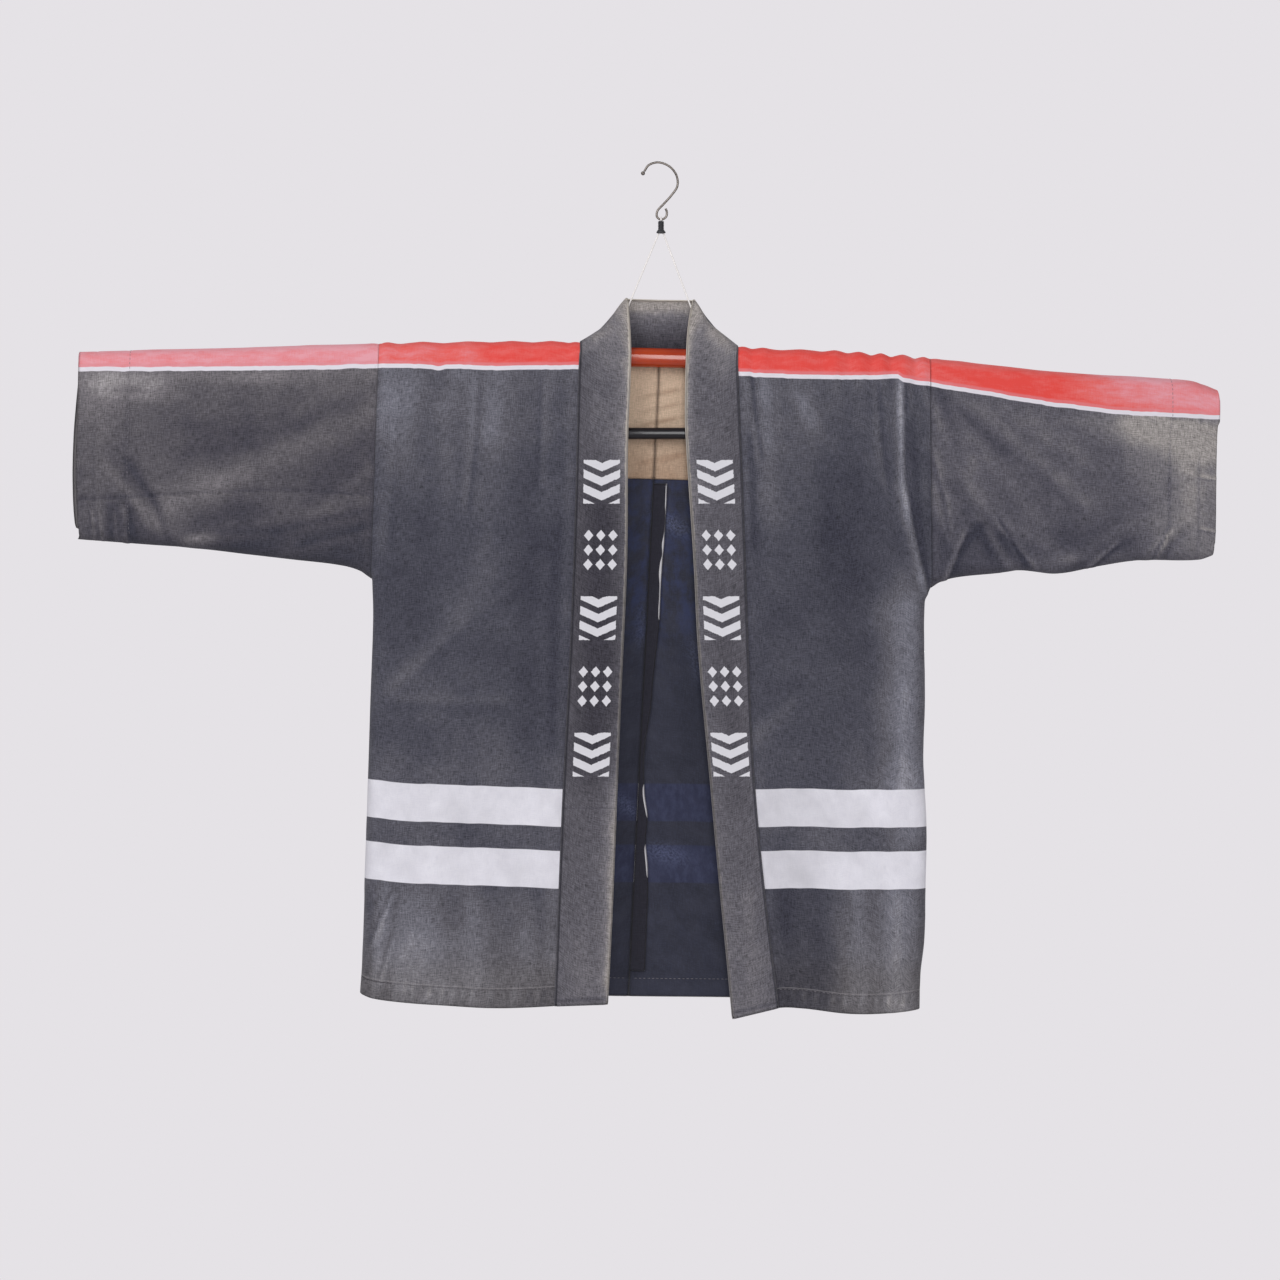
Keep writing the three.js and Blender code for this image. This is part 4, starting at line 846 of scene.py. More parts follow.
class Shader:
    """A material's node tree, with short calls for the nodes used here."""

    def __init__(self, name, **surface):
        self.material = bpy.data.materials.new(name)
        self.material.use_nodes = True
        self.tree = self.material.node_tree
        self.surface = self.tree.nodes["Principled BSDF"]
        for socket, value in surface.items():
            self.surface.inputs[socket.replace("_", " ")].default_value = value

    def node(self, kind, inputs=None, **settings):
        node = self.tree.nodes.new("ShaderNode" + kind)
        for setting, value in settings.items():
            setattr(node, setting, value)
        for socket, value in (inputs or {}).items():
            if isinstance(value, bpy.types.NodeSocket):
                self.tree.links.new(value, node.inputs[socket])
            else:
                node.inputs[socket].default_value = value
        return node

    def math(self, operation, first, second=0.0, third=0.0):
        return self.node("Math", {0: first, 1: second, 2: third}, operation=operation).outputs[0]

    def plus(self, first, second):
        return self.math("ADD", first, second)

    def minus(self, first, second):
        return self.math("SUBTRACT", first, second)

    def times(self, first, second):
        return self.math("MULTIPLY", first, second)

    def scaled(self, value, scale, offset):
        return self.math("MULTIPLY_ADD", value, scale, offset)

    def opposite(self, value):
        return self.minus(1.0, value)

    def mix(self, factor, first, second, blend="MIX"):
        inputs = {0: factor, 6: first, 7: second}
        return self.node("Mix", inputs, data_type="RGBA", blend_type=blend).outputs[2]

    def attribute(self, name):
        return self.node("Attribute", attribute_name=name).outputs["Fac"]

    def uv(self, scale_u=1.0, scale_v=1.0):
        inputs = {0: self.node("UVMap", uv_map="cloth").outputs[0], 1: (scale_u, scale_v, 1)}
        return self.node("VectorMath", inputs, operation="MULTIPLY").outputs[0]

    def noise(self, vector, scale=1.0, detail=2.0, roughness=0.5):
        inputs = {"Vector": vector, "Scale": scale, "Detail": detail, "Roughness": roughness}
        return self.node("TexNoise", inputs).outputs["Fac"]

    def rise(self, value, at, soft):
        """0 below a value and 1 above it, with a soft step."""
        inputs = {"Value": value, "From Min": at - soft, "From Max": at + soft}
        return self.node("MapRange", inputs, interpolation_type="SMOOTHSTEP").outputs[0]

    def between(self, value, low, high, soft):
        return self.times(self.rise(value, low, soft), self.opposite(self.rise(value, high, soft)))

    def ramp(self, value, stops):
        node = self.node("ValToRGB", {"Fac": value})
        elements = node.color_ramp.elements
        for element, (share, colour) in zip([elements[0], elements[1]], [stops[0], stops[-1]]):
            element.position, element.color = share, colour
        for share, colour in stops[1:-1]:
            elements.new(share).color = colour
        return node.outputs[0]

    def colour_from(self, socket):
        self.tree.links.new(socket, self.surface.inputs["Base Color"])

    def roughness_from(self, socket):
        self.tree.links.new(socket, self.surface.inputs["Roughness"])

    def bump_from(self, height, distance, strength=1.0):
        bump = self.node("Bump", {"Height": height, "Distance": distance, "Strength": strength})
        self.tree.links.new(bump.outputs[0], self.surface.inputs["Normal"])


def srgb(red, green, blue):
    """Linear colour from values of 0 to 255 as seen."""
    parts = [value / 255 for value in (red, green, blue)]
    return (*[part / 12.92 if part <= 0.04045 else ((part + 0.055) / 1.055) ** 2.4 for part in parts], 1)


THREAD = 0.9
COOL_STOPS = [(0, srgb(57, 57, 68)), (0.25, srgb(73, 73, 83)), (0.5, srgb(91, 90, 98)),
    (0.75, srgb(113, 113, 123)), (1, srgb(145, 144, 152))]
NEUTRAL_STOPS = [(0, srgb(56, 56, 66)), (0.25, srgb(71, 69, 77)), (0.5, srgb(92, 89, 94)),
    (0.75, srgb(114, 110, 114)), (1, srgb(146, 142, 144))]
WARM_STOPS = [(0, srgb(56, 56, 67)), (0.25, srgb(70, 69, 79)), (0.5, srgb(91, 89, 97)),
    (0.75, srgb(116, 113, 117)), (1, srgb(149, 144, 142))]
COLLAR_STOPS = [(0, srgb(60, 58, 66)), (0.25, srgb(74, 72, 79)), (0.5, srgb(92, 90, 97)),
    (0.75, srgb(115, 112, 117)), (1, srgb(152, 146, 143))]
RED_STOPS = [(0, srgb(223, 76, 70)), (0.35, srgb(224, 103, 100)), (0.7, srgb(222, 134, 140)),
    (1, srgb(223, 157, 167))]
REVERSE_STOPS = [(0.25, srgb(43, 44, 54)), (0.5, srgb(50, 51, 62)), (0.75, srgb(58, 59, 71))]
TAN_STOPS = [(0.3, srgb(162, 135, 114)), (0.55, srgb(172, 146, 125)), (0.8, srgb(182, 158, 138))]
CLOTH_SURFACE = {"Roughness": 0.92, "Specular_IOR_Level": 0.18, "Sheen_Weight": 0.06,
    "Sheen_Roughness": 0.5}


def weave_height(shader, thread=THREAD):
    """Plain weave: threads over and under each other, from the cloth's own lengths."""
    separate = shader.node("SeparateXYZ", {0: shader.uv(1, 1)})
    turns = 2 * math.pi / (thread * MM)
    warp = shader.math("SINE", shader.times(separate.outputs[0], turns))
    weft = shader.math("SINE", shader.times(separate.outputs[1], turns))
    return shader.times(warp, weft)


def cloth_grain(shader):
    """Uneven threads both ways and soft specks, as a value round 0."""
    across = shader.noise(shader.uv(120, 900), detail=2.0)
    along = shader.noise(shader.uv(900, 120), detail=2.0)
    fine = shader.noise(shader.uv(760, 760), detail=2.0)
    threads = shader.scaled(fine, 0.6, shader.plus(across, along))
    return shader.minus(threads, 1.3)


def with_grain(shader, colour, grain, strength):
    """The colour with its threads lighter and darker by turns."""
    factor = shader.scaled(grain, strength, 1.0)
    return shader.node("VectorMath", {0: colour, "Scale": factor}, operation="SCALE").outputs[0]


def finish_cloth(shader, colour, grain, depth=0.00006, thread=THREAD):
    """Gives a cloth its colour and the relief of its weave and its uneven threads."""
    shader.colour_from(colour)
    shader.bump_from(shader.scaled(grain, 0.8, weave_height(shader, thread)), depth, 0.5)
    return shader.material


def hem_stripes(shader, soft):
    """1 on the two hem stripes and 0 beside them."""
    stripe = shader.attribute("stripe")
    upper = shader.between(stripe, 0, STRIPE_HEIGHT, soft)
    lower = shader.between(stripe, STRIPE_PITCH, STRIPE_PITCH + STRIPE_HEIGHT, soft)
    return shader.plus(upper, lower)


def washed_indigo(shader, tone, stops, grain, strength=1.45):
    """Indigo that is washed out by tone, with blotches and a grain of lighter threads."""
    cloudy = shader.noise(shader.uv(22, 22), detail=3.0, roughness=0.6)
    blotch = shader.noise(shader.uv(90, 90), detail=2.0, roughness=0.6)
    tone = shader.scaled(shader.minus(cloudy, 0.5), 0.34, tone)
    tone = shader.scaled(shader.minus(blotch, 0.5), 0.14, tone)
    return with_grain(shader, shader.ramp(tone, stops), grain, strength)


def hem_folds(shader, colour):
    """The doubled hem: a painted highlight line over a painted shadow line at its stitches, and painted
    shade in the fold of its corner.
    """
    hem, corner = shader.attribute("hem"), shader.attribute("corner")
    lit = shader.between(hem, HEM_DEPTH, HEM_DEPTH + 1, 0.4)
    colour = shader.mix(shader.times(lit, 0.3), colour, srgb(160, 156, 158))
    folded = shader.between(hem, HEM_DEPTH - 2, HEM_DEPTH - 1, 0.4)
    folded = shader.times(folded, shader.scaled(shader.rise(corner, 0, 1), 0.5, 0.35))
    side_fold = shader.times(shader.between(corner, 0, 1, 0.5), shader.between(hem, -1, HEM_DEPTH - 1, 0.5))
    return shader.mix(shader.scaled(side_fold, 0.5, folded), colour, srgb(52, 48, 52))


def stripe_white(shader, grain):
    """The white of the hem stripes, a little soiled, with painted shade of its soft folds and of the shade
    strokes.
    """
    soiled = shader.noise(shader.uv(60, 60), detail=3.0)
    white = shader.mix(soiled, srgb(206, 204, 212), srgb(228, 227, 234))
    white = shader.mix(shader.scaled(grain, 0.6, 0.1), white, srgb(192, 192, 204))
    shaded = shader.noise(shader.uv(26, 14), detail=3.0, roughness=0.6)
    shaded = shader.minus(shader.times(shader.minus(shaded, 0.5), 0.34), shader.attribute("shade"))
    return with_grain(shader, white, shaded, 1.0)


def shoulder_band(shader, colour, grain):
    """The red band over the shoulders, partly washed out to pink, and the white line below it."""
    band = shader.attribute("band")
    colour = shader.mix(shader.opposite(shader.rise(band, WHITE_LINE, 0.35)), colour, srgb(218, 214, 222))
    patchy = shader.noise(shader.uv(45, 160), detail=3.0, roughness=0.6)
    pink = shader.scaled(shader.minus(patchy, 0.5), 0.8, shader.attribute("pink"))
    red = shader.ramp(shader.scaled(grain, 0.3, pink), RED_STOPS)
    bled = shader.between(band, -3.5, 0, 1.2)
    red = shader.mix(shader.times(bled, 0.5), red, srgb(212, 138, 146))
    return shader.mix(shader.opposite(shader.rise(band, 0, 0.3)), colour, red)


def striped_cotton(name, stops):
    """The coat's cloth outside: washed indigo with the red shoulder band and the white hem stripes."""
    shader = Shader(name, **CLOTH_SURFACE)
    grain = cloth_grain(shader)
    colour = washed_indigo(shader, shader.attribute("tone"), stops, grain)
    colour = shader.mix(shader.attribute("warm"), colour, (1.04, 0.99, 0.87, 1), "MULTIPLY")
    colour = hem_folds(shader, colour)
    colour = shader.mix(hem_stripes(shader, 0.4), colour, stripe_white(shader, grain))
    return finish_cloth(shader, shoulder_band(shader, colour, grain), grain)


def reverse_cotton(name):
    """The inside of the coat: darker navy, with the stripes showing through as a bluish shade."""
    shader = Shader(name, **CLOTH_SURFACE)
    grain = cloth_grain(shader)
    cloudy = shader.noise(shader.uv(30, 30), detail=3.0, roughness=0.6)
    base = shader.ramp(cloudy, REVERSE_STOPS)
    base = shader.mix(shader.scaled(grain, 0.6, 0.08), base, srgb(70, 73, 92))
    patch = shader.rise(shader.noise(shader.uv(55, 38), detail=4.0, roughness=0.7), 0.53, 0.13)
    base = shader.mix(shader.times(patch, shader.attribute("blue")), base, srgb(56, 63, 96))
    mottled = shader.rise(shader.noise(shader.uv(120, 60), detail=4.0, roughness=0.7), 0.52, 0.14)
    stripe_blue = shader.mix(mottled, srgb(48, 52, 80), srgb(64, 69, 100))
    colour = shader.mix(shader.times(hem_stripes(shader, 1.0), 0.5), base, stripe_blue)
    speckled = shader.rise(shader.noise(shader.uv(420, 420), detail=2.0, roughness=0.6), 0.5, 0.14)
    rubbed = shader.times(speckled, shader.attribute("rubbed"))
    colour = shader.mix(rubbed, colour, srgb(96, 103, 134))
    colour = shader.mix(shader.attribute("facing"), colour, srgb(138, 134, 137))
    return finish_cloth(shader, colour, grain)


MOTIF_PITCH = 75
MOTIF_COUNT = 5
MOTIF_HALF_WIDTH = 20
MOTIF_HALF_HEIGHT = 24
MOTIF_FIRST_Z = -352
BAR_PITCH = 16
LOZENGE_PITCH = 13.4
LOZENGE_STRETCH = 1.3


def motif_mask(shader):
    """Blocks of plain geometric pattern down the lapels: chevron bars and small lozenges by turns."""
    rough = shader.minus(shader.noise(shader.uv(350, 350), detail=2.0), 0.5)
    u = shader.scaled(rough, 1.6, shader.attribute("motif_across"))
    v = shader.scaled(rough, 1.6, shader.attribute("motif_down"))
    block = shader.math("ROUND", shader.math("DIVIDE", v, MOTIF_PITCH))
    v = shader.minus(v, shader.times(block, MOTIF_PITCH))
    odd = shader.math("PINGPONG", block, 1.0)
    in_block = shader.times(shader.between(v, -MOTIF_HALF_HEIGHT, MOTIF_HALF_HEIGHT, 0.3),
        shader.between(u, -MOTIF_HALF_WIDTH, MOTIF_HALF_WIDTH, 0.3))
    in_block = shader.times(in_block, shader.between(block, -0.5, MOTIF_COUNT - 0.5, 0.1))

    slanted = shader.scaled(shader.math("ABSOLUTE", u), 0.45, v)
    bar = shader.math("PINGPONG", slanted, BAR_PITCH / 2)
    chevrons = shader.opposite(shader.rise(bar, 4.6, 0.3))
    across = shader.math("PINGPONG", u, LOZENGE_PITCH / 2)
    down = shader.math("PINGPONG", v, LOZENGE_PITCH / 2 + LOZENGE_STRETCH)
    lozenge = shader.plus(across, shader.times(down, 0.84))
    lozenges = shader.opposite(shader.rise(lozenge, 5.2, 0.3))
    motif = shader.plus(shader.times(chevrons, shader.opposite(odd)), shader.times(lozenges, odd))
    return shader.times(motif, in_block)


def collar_cotton():
    """The collar's doubled cloth: pale along its free edge, dark beside its seam, with white motifs."""
    shader = Shader("collar_cotton", **CLOTH_SURFACE)
    grain = cloth_grain(shader)
    edge = shader.attribute("from_free")
    near_edge = shader.math("EXPONENT", shader.times(edge, -0.1))
    faded = shader.scaled(shader.attribute("worn"), 0.5, 0.08)
    tone = shader.scaled(near_edge, faded, shader.attribute("tone"))
    colour = washed_indigo(shader, tone, COLLAR_STOPS, grain, 1.5)
    seam = shader.between(shader.attribute("from_seam"), 0.2, 1.5, 0.7)
    colour = shader.mix(shader.times(seam, 0.7), colour, srgb(46, 47, 60))
    joined = shader.between(shader.attribute("from_join"), -0.5, 0.5, 0.4)
    colour = shader.mix(shader.times(joined, 0.45), colour, srgb(58, 57, 68))
    colour = shader.mix(motif_mask(shader), colour, srgb(211, 210, 216))
    patchy = shader.noise(shader.uv(160, 110), detail=4.0, roughness=0.65)
    worn = shader.opposite(shader.rise(shader.scaled(patchy, -4.4, edge), -0.5, 0.8))
    worn = shader.times(worn, shader.attribute("worn"))
    return finish_cloth(shader, shader.mix(worn, colour, srgb(206, 198, 188)), grain, 0.00007)


def tan_cotton():
    shader = Shader("tan_cotton", **CLOTH_SURFACE)
    grain = cloth_grain(shader)
    colour = shader.ramp(shader.noise(shader.uv(40, 40), detail=3.0), TAN_STOPS)
    # The pale attribute is painted light on the upper lining, held back along the puckers as their painted
    # shade
    colour = shader.mix(shader.times(shader.attribute("pale"), 0.8), colour, srgb(208, 184, 161))
    return finish_cloth(shader, with_grain(shader, colour, grain, 0.6), grain, 0.00005, 0.7)


def allowance_cotton():
    """The pressed seam allowance, with white selvedge along stretches of its free edge."""
    shader = Shader("allowance_cotton", **CLOTH_SURFACE)
    grain = cloth_grain(shader)
    colour = shader.mix(shader.scaled(grain, 0.5, 0.2), srgb(36, 35, 43), srgb(58, 58, 69))
    colour = shader.mix(shader.rise(shader.attribute("selvedge"), 0, 0.3), colour, srgb(196, 194, 198))
    shader.colour_from(colour)
    shader.bump_from(weave_height(shader), 0.00005, 0.5)
    return shader.material


def object_noise(shader, scale, detail=2.0):
    """Noise by place in the object, for pieces that have no cloth lengths."""
    return shader.noise(shader.node("TexCoord").outputs["Object"], scale, detail)


def plain_gloss(name, dark, light, scale, roughness, spread, **surface):
    """A hard finish whose colour and roughness vary a little over the surface."""
    shader = Shader(name, **surface)
    noise = object_noise(shader, scale, 4.0)
    shader.colour_from(shader.ramp(noise, [(0.3, dark), (0.7, light)]))
    shader.roughness_from(shader.scaled(noise, spread, roughness))
    shader.bump_from(object_noise(shader, scale * 6), 0.00002, 0.3)
    return shader.material


MATERIALS = {
    "panel": striped_cotton("panel_cotton", COOL_STOPS),
    "sleeve_left": striped_cotton("left_sleeve_cotton", NEUTRAL_STOPS),
    "sleeve_right": striped_cotton("right_sleeve_cotton", WARM_STOPS),
    "reverse": reverse_cotton("reverse_cotton"),
    "collar": collar_cotton(),
    "tan": tan_cotton(),
    "allowance": allowance_cotton(),
    "red_lacquer": plain_gloss("red_lacquer", srgb(154, 40, 0), srgb(168, 52, 0), 40, 0.5, 0.1,
        Specular_IOR_Level=0.0, Coat_Weight=1.0, Coat_Roughness=0.12, Coat_IOR=1.54),
    "black_lacquer": plain_gloss("black_lacquer", srgb(18, 15, 17), srgb(27, 23, 26), 40, 0.3, 0.12,
        Specular_IOR_Level=0.1, Coat_Weight=0.6, Coat_Roughness=0.1, Coat_Tint=(0.8, 0.86, 1, 1)),
    "black_plastic": plain_gloss("black_plastic", srgb(36, 36, 41), srgb(52, 51, 56), 90, 0.42, 0.16),
    "steel": plain_gloss("steel_wire", srgb(104, 98, 94), srgb(138, 131, 126), 160, 0.26, 0.2,
        Metallic=1.0),
    "cord": plain_gloss("white_cord", srgb(232, 228, 226), srgb(244, 240, 238), 600, 0.8, 0.1),
    "thread": plain_gloss("grey_thread", srgb(88, 86, 94), srgb(134, 130, 134), 700, 0.85, 0.1),
}


def finish_piece(piece, slot, *nodes):
    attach(piece, BODY)
    if nodes:
        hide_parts(*nodes)
    return piece


def stitches(name, line, normals, length=3.2, gap=1.6, radius=0.28):
    """A row of stitches along a line on the cloth, as one mesh of small arched threads."""
    steps = np.linalg.norm(np.diff(line, axis=0), axis=1)
    run = np.concatenate([[0], steps.cumsum()])
    starts = np.arange(gap, run[-1] - length - gap, length + gap)
    sides, rings = 5, 5
    share = np.linspace(0, 1, rings)
    angle = 2 * np.pi * np.arange(sides) / sides
    at = starts[:, None] + length * share
    centre = np.stack([np.interp(at, run, line[:, k]) for k in range(3)], axis=-1)
    up = unit(np.stack([np.interp(at, run, normals[:, k]) for k in range(3)], axis=-1))
    side = unit(np.cross(up, unit(centre[:, -1:] - centre[:, :1])))
    thick = radius * np.sqrt(np.maximum(0.04, 1 - (2 * share - 1) ** 4))[None, :, None, None]
    lift = up * (radius * (0.9 * np.sin(np.pi * share) - 0.3))[None, :, None]
    ring = np.cos(angle)[:, None] * up[:, :, None] + np.sin(angle)[:, None] * side[:, :, None]
    vertices = ((centre + lift)[:, :, None] + thick * ring).reshape(-1, 3)
    caps = [np.arange(sides)[::-1], (rings - 1) * sides + np.arange(sides)]
    one_stitch = [*ring_quads(rings, sides), *caps]
    faces = [(face + s * sides * rings).tolist() for s in range(len(starts)) for face in one_stitch]
    return finish_piece(add_piece(name, vertices, faces, [MATERIALS["thread"]]), "indigo_cotton")


def outside(grid, wall, i, j):
    """Points and normals of the cloth's outer face along a row or column of its grid."""
    normals = sheet_normals(grid)
    return (grid + normals * wall / 2)[i, j], normals[i, j]


HEM_PUCKERS = {
    "left": (-289, -281, -272, -254, -240, -228, -217, -207, -186, -161, -134),
    "right": (146, 158, 171, 190, 203, 222, 238, 251, 268),
}


def hem_distance(side, x, z, is_front):
    """Height over the hem's edge."""
    return z - both_layers(is_front, lambda layer: hem_z(side, layer, x))


def hem_relief(side, grid, is_front):
    """Height and shade of the doubled hem's stitched line and of the small puckers below it."""
    x = grid[..., 0]
    height = hem_distance(side, x, grid[..., 2], is_front)
    stitched = bump(height - HEM_DEPTH + 1, 2)
    pucker = 0.5 * soft_noise(x, 0 * x + 3, 9, 31)
    for middle in HEM_PUCKERS[side]:
        pucker += 0.9 * bump(x - middle - 0.15 * (height - 12), 2.8)
    pucker *= bump(height - 13, 9)
    return pucker - 0.6 * stitched, 0.2 * pucker


def seam_relief(distance):
    """Next to a seam the cloth dips, and rises again over the seam allowance behind it."""
    return -0.7 * bump(distance, 2.6) + 0.35 * bump(distance - 8, 5)


# Where the inside of the back is rubbed pale in specks
RUBBED = table(STROKE, (8, -394, 14, -398, 9, 0.6), (-40, -706, -34, -712, 7, 0.5),
    (2, -762, 10, -764, 10, 0.45), (40, -540, 44, -560, 9, 0.25), (-20, -500, -22, -520, 8, 0.25))
# How warm the outside is, and how blue the patches inside are, by height
WARMTH = table("z share", (-930, 0.8), (-895, 0.7), (-870, 0.35), (-820, 0.1), (-760, 0))
BLUENESS = table("z share", (-900, 0.04), (-540, 0.08), (-500, 0.6), (-350, 0.5))
# Beyond this x the corner of the left front's hem is folded once more, and its fold is painted with shade
HEM_CORNER = -295
# Painted light along the side seams, where the cloth turns away from the lamps: how much paler, and how far
# in
SIDE_PAINTED_LIGHT = {"left": 0.3, "right": 0.46}
SIDE_PAINTED_LIGHT_REACH = 5
# The cuff's hem, the facing inside it, and how dark their stitched folds are
CUFF_HEM_DEPTH = 19
FACING_DEPTH = {"left": 55, "right": 51}
CUFF_FOLD_SHADE = {"left": 0.04, "right": 0.1}


def body_panel(side):
    grid = panel_grid(side)
    rows, columns = grid.shape[:2]
    is_front = is_front_row(rows)
    from_inner = cloth_lengths(grid)[0]
    from_outer = from_inner[:, -1:] - from_inner
    above_pit = np.clip((grid[..., 2] - PIT[side]) / UNDERARM_TURN, 0, 1)
    hem_height, hem_shade = hem_relief(side, grid, is_front)
    height = relief(grid, is_front, SEED[f"panel_{side}"]) + hem_height
    height += seam_relief(from_inner) + seam_relief(from_outer) * above_pit
    height *= np.clip(from_outer / 4, 0.15, 1)
    grid = displace(grid, height)

    x, z = grid[..., 0], grid[..., 2]
    hem = hem_distance(side, x, z, is_front)
    attributes = cloth_attributes(f"panel_{side}", grid, is_front)
    # Painted light on raised cloth and painted shade in its troughs, and the painted light and shade of the
    # hem's puckers
    attributes["tone"] += CREST_TONE * (height - hem_height) + hem_shade
    # Painted light along the side seams below the armpit, where the cloth turns away
    attributes["tone"] += SIDE_PAINTED_LIGHT[side] * np.exp(-from_outer / SIDE_PAINTED_LIGHT_REACH) * (1 - above_pit)
    attributes.update({
        "rubbed": np.where(is_front, 0.0, strokes(RUBBED, x, z)),
        "warm": curve(WARMTH, "z", "share", z),
        "blue": curve(BLUENESS, "z", "share", z),
        "corner": np.where(is_front & (side == "left"), HEM_CORNER - x, -99),
        "facing": 0.0,
        "hem": hem,
    })
    materials = [MATERIALS["panel"], MATERIALS["reverse"]]
    extra = HEM_EXTRA * (hem < HEM_DEPTH)
    piece = shell(f"body_cloth_{side}", grid, PANEL_WALL, materials, attributes, extra)
    finish_piece(piece, "indigo_cotton", f"body_panel_{side}")

    from_stitches = abs(hem[:, columns // 2] - HEM_DEPTH + 1)
    stitch_row = int(np.argmin(from_stitches[:rows // 2]))
    back_row = rows - 1 - int(np.argmin(from_stitches[::-1][:rows // 2]))
    keep = slice(1, columns - 3)
    inner, outward = outside(grid, -PANEL_WALL - 2 * HEM_EXTRA, back_row, keep)
    hems = [stitches(f"hem_stitches_front_{side}", *outside(grid, PANEL_WALL, stitch_row, keep)),
        stitches(f"hem_stitches_back_{side}", *outside(grid, PANEL_WALL, back_row, keep)),
        stitches(f"hem_stitches_inside_{side}", inner, -outward)]
    return grid


def sleeve(side):
    grid = sleeve_grid(side)
    rows = len(grid)
    is_front = is_front_row(rows)
    across, along = cloth_lengths(grid)
    from_cuff = across[:, -1:] - across
    from_underarm = np.minimum(along - along[:1], along[-1:] - along)
    facing = FACING_DEPTH[side]
    height = relief(grid, is_front, SEED[f"sleeve_{side}"]) + seam_relief(across)
    for depth, width in ((facing, 2.2), (CUFF_HEM_DEPTH, 2)):
        height += -0.4 * bump(from_cuff - depth, width)
    height += 0.4 * soft_noise(grid[..., 2], 0 * across + 2, 10, 41) * bump(from_cuff - 8, 9)
    height *= np.clip(from_underarm / 5, 0.1, 1)
    grid = displace(grid, height)
    attributes = cloth_attributes(f"sleeve_{side}", grid, is_front)
    folds = bump(from_cuff - facing, 2) + 0.8 * bump(from_cuff - CUFF_HEM_DEPTH, 2)
    # Painted light on raised cloth and painted shade in its troughs; the cuff's edge is worn paler
    attributes["tone"] += CREST_TONE * height + 0.16 * np.exp(-from_cuff / 2.5)
    attributes["tone"] -= CUFF_FOLD_SHADE[side] * folds
    attributes.update({"stripe": -100.0, "hem": 100.0, "warm": 0.0, "blue": 0.3, "rubbed": 0.0,
        "facing": 0.9 * np.clip((facing - from_cuff) / 3, 0, 1)})
    materials = [MATERIALS[f"sleeve_{side}"], MATERIALS["reverse"]]
    piece = shell(f"sleeve_cloth_{side}", grid, PANEL_WALL, materials, attributes)
    finish_piece(piece, "indigo_cotton", f"sleeve_{side}")
    column = int(np.argmin(abs(from_cuff[rows // 4] - facing)))
    cuff = stitches(f"cuff_stitches_{side}", *outside(grid, PANEL_WALL, slice(6, rows - 6), column))


# How worn the collar's free edge is by height, and the seam across its left half
COLLAR_WEAR = table("z share", (-700, 0.15), (-500, 0.25), (-400, 0.4), (-300, 0.7), (-150, 0.95))
COLLAR_JOIN = -710.7


def collar():
    grid = collar_grid()
    across, along = cloth_lengths(grid)
    from_free = across[:, -1:] - across
    x, z = grid[..., 0], grid[..., 2]
    front = grid[..., 1] < 0
    below = np.clip((arc_base(x) - z) / HANGER_FADE, 0, 1)
    height = below * (0.5 * soft_noise(x, z, 60, 51) + 0.18 * soft_noise(x, z, 18, 52))
    height += 0.35 * bump(from_free - 6, 5) * front
    grid = displace(grid, height)
    tone = np.where(front, curve(TONE["collar"], "z", "tone", z) + strokes(FADE_AND_SHADE_STROKES["collar"], x, z),
        curve(TONE["collar_back"], "z", "tone", z))
    from_hem = np.minimum(along - along[:1], along[-1:] - along)
    tone = tone - 0.2 * bump(from_hem - 5.5, 1.6)
    middle = across[:, -1:] / 2
    attributes = {
        "tone": tone,
        "from_free": from_free,
        "from_seam": across,
        "worn": curve(COLLAR_WEAR, "z", "share", z),
        "from_join": np.where(x < 0, z - COLLAR_JOIN, 99),
        "motif_across": across - middle - 100 * ~front,
        "motif_down": MOTIF_FIRST_Z - z,
    }
    piece = shell("collar_cloth", grid, COLLAR_WALL, [MATERIALS["collar"]], attributes, rim_steps=3)
    finish_piece(piece, "collar_cotton", "collar_band")


# Small creases across the yoke lining: height of each and how strong it is
YOKE_PUCKERS = ((-253, 0.7), (-269, -0.6), (-284, 0.8), (-326, 0.7), (-305, -0.5))
YOKE_PUCKER_REACH = {"left": (-10, 12, 0.6), "right": (8, 16, 1)}


def yoke_lining(side, panel):
    rows = len(shares(BODY_LENGTH))
    share_down = np.linspace(1, 0, rows)
    columns = int(panel.shape[1] * YOKE_WIDTH_SHARE)
    back = panel[-rows:]
    normals = sheet_normals(panel)[-rows:]
    keep = share_down >= YOKE_BOTTOM_SHARE
    grid = (back - normals * (WALL / 2 + LAYER_GAP + LINING_WALL / 2))[keep][:, :columns]
    x, z = grid[..., 0], grid[..., 2]
    middle, width, strength = YOKE_PUCKER_REACH[side]
    reach = strength * bump(x - middle, width)
    pucker = np.zeros_like(x)
    for crease, amount in YOKE_PUCKERS:
        pucker += 1.6 * amount * bump(z - crease - 0.2 * x, 2.6) * reach
    grid = grid + normals[keep][:, :columns] * (0.2 - 0.6 * abs(pucker))[..., None]
    grid[:, 0, 0] -= SIGN[side] * 0.16
    # Painted light, stronger higher up the lining, held back along the puckers to paint their shade
    pale = np.clip((z + 345) / 60, 0, 1) - 0.9 * np.clip(abs(pucker), 0, 1)
    piece = shell(f"yoke_lining_cloth_{side}", grid, LINING_WALL, [MATERIALS["tan"]], {"pale": pale})
    finish_piece(piece, "tan_cotton", f"yoke_lining_{side}")


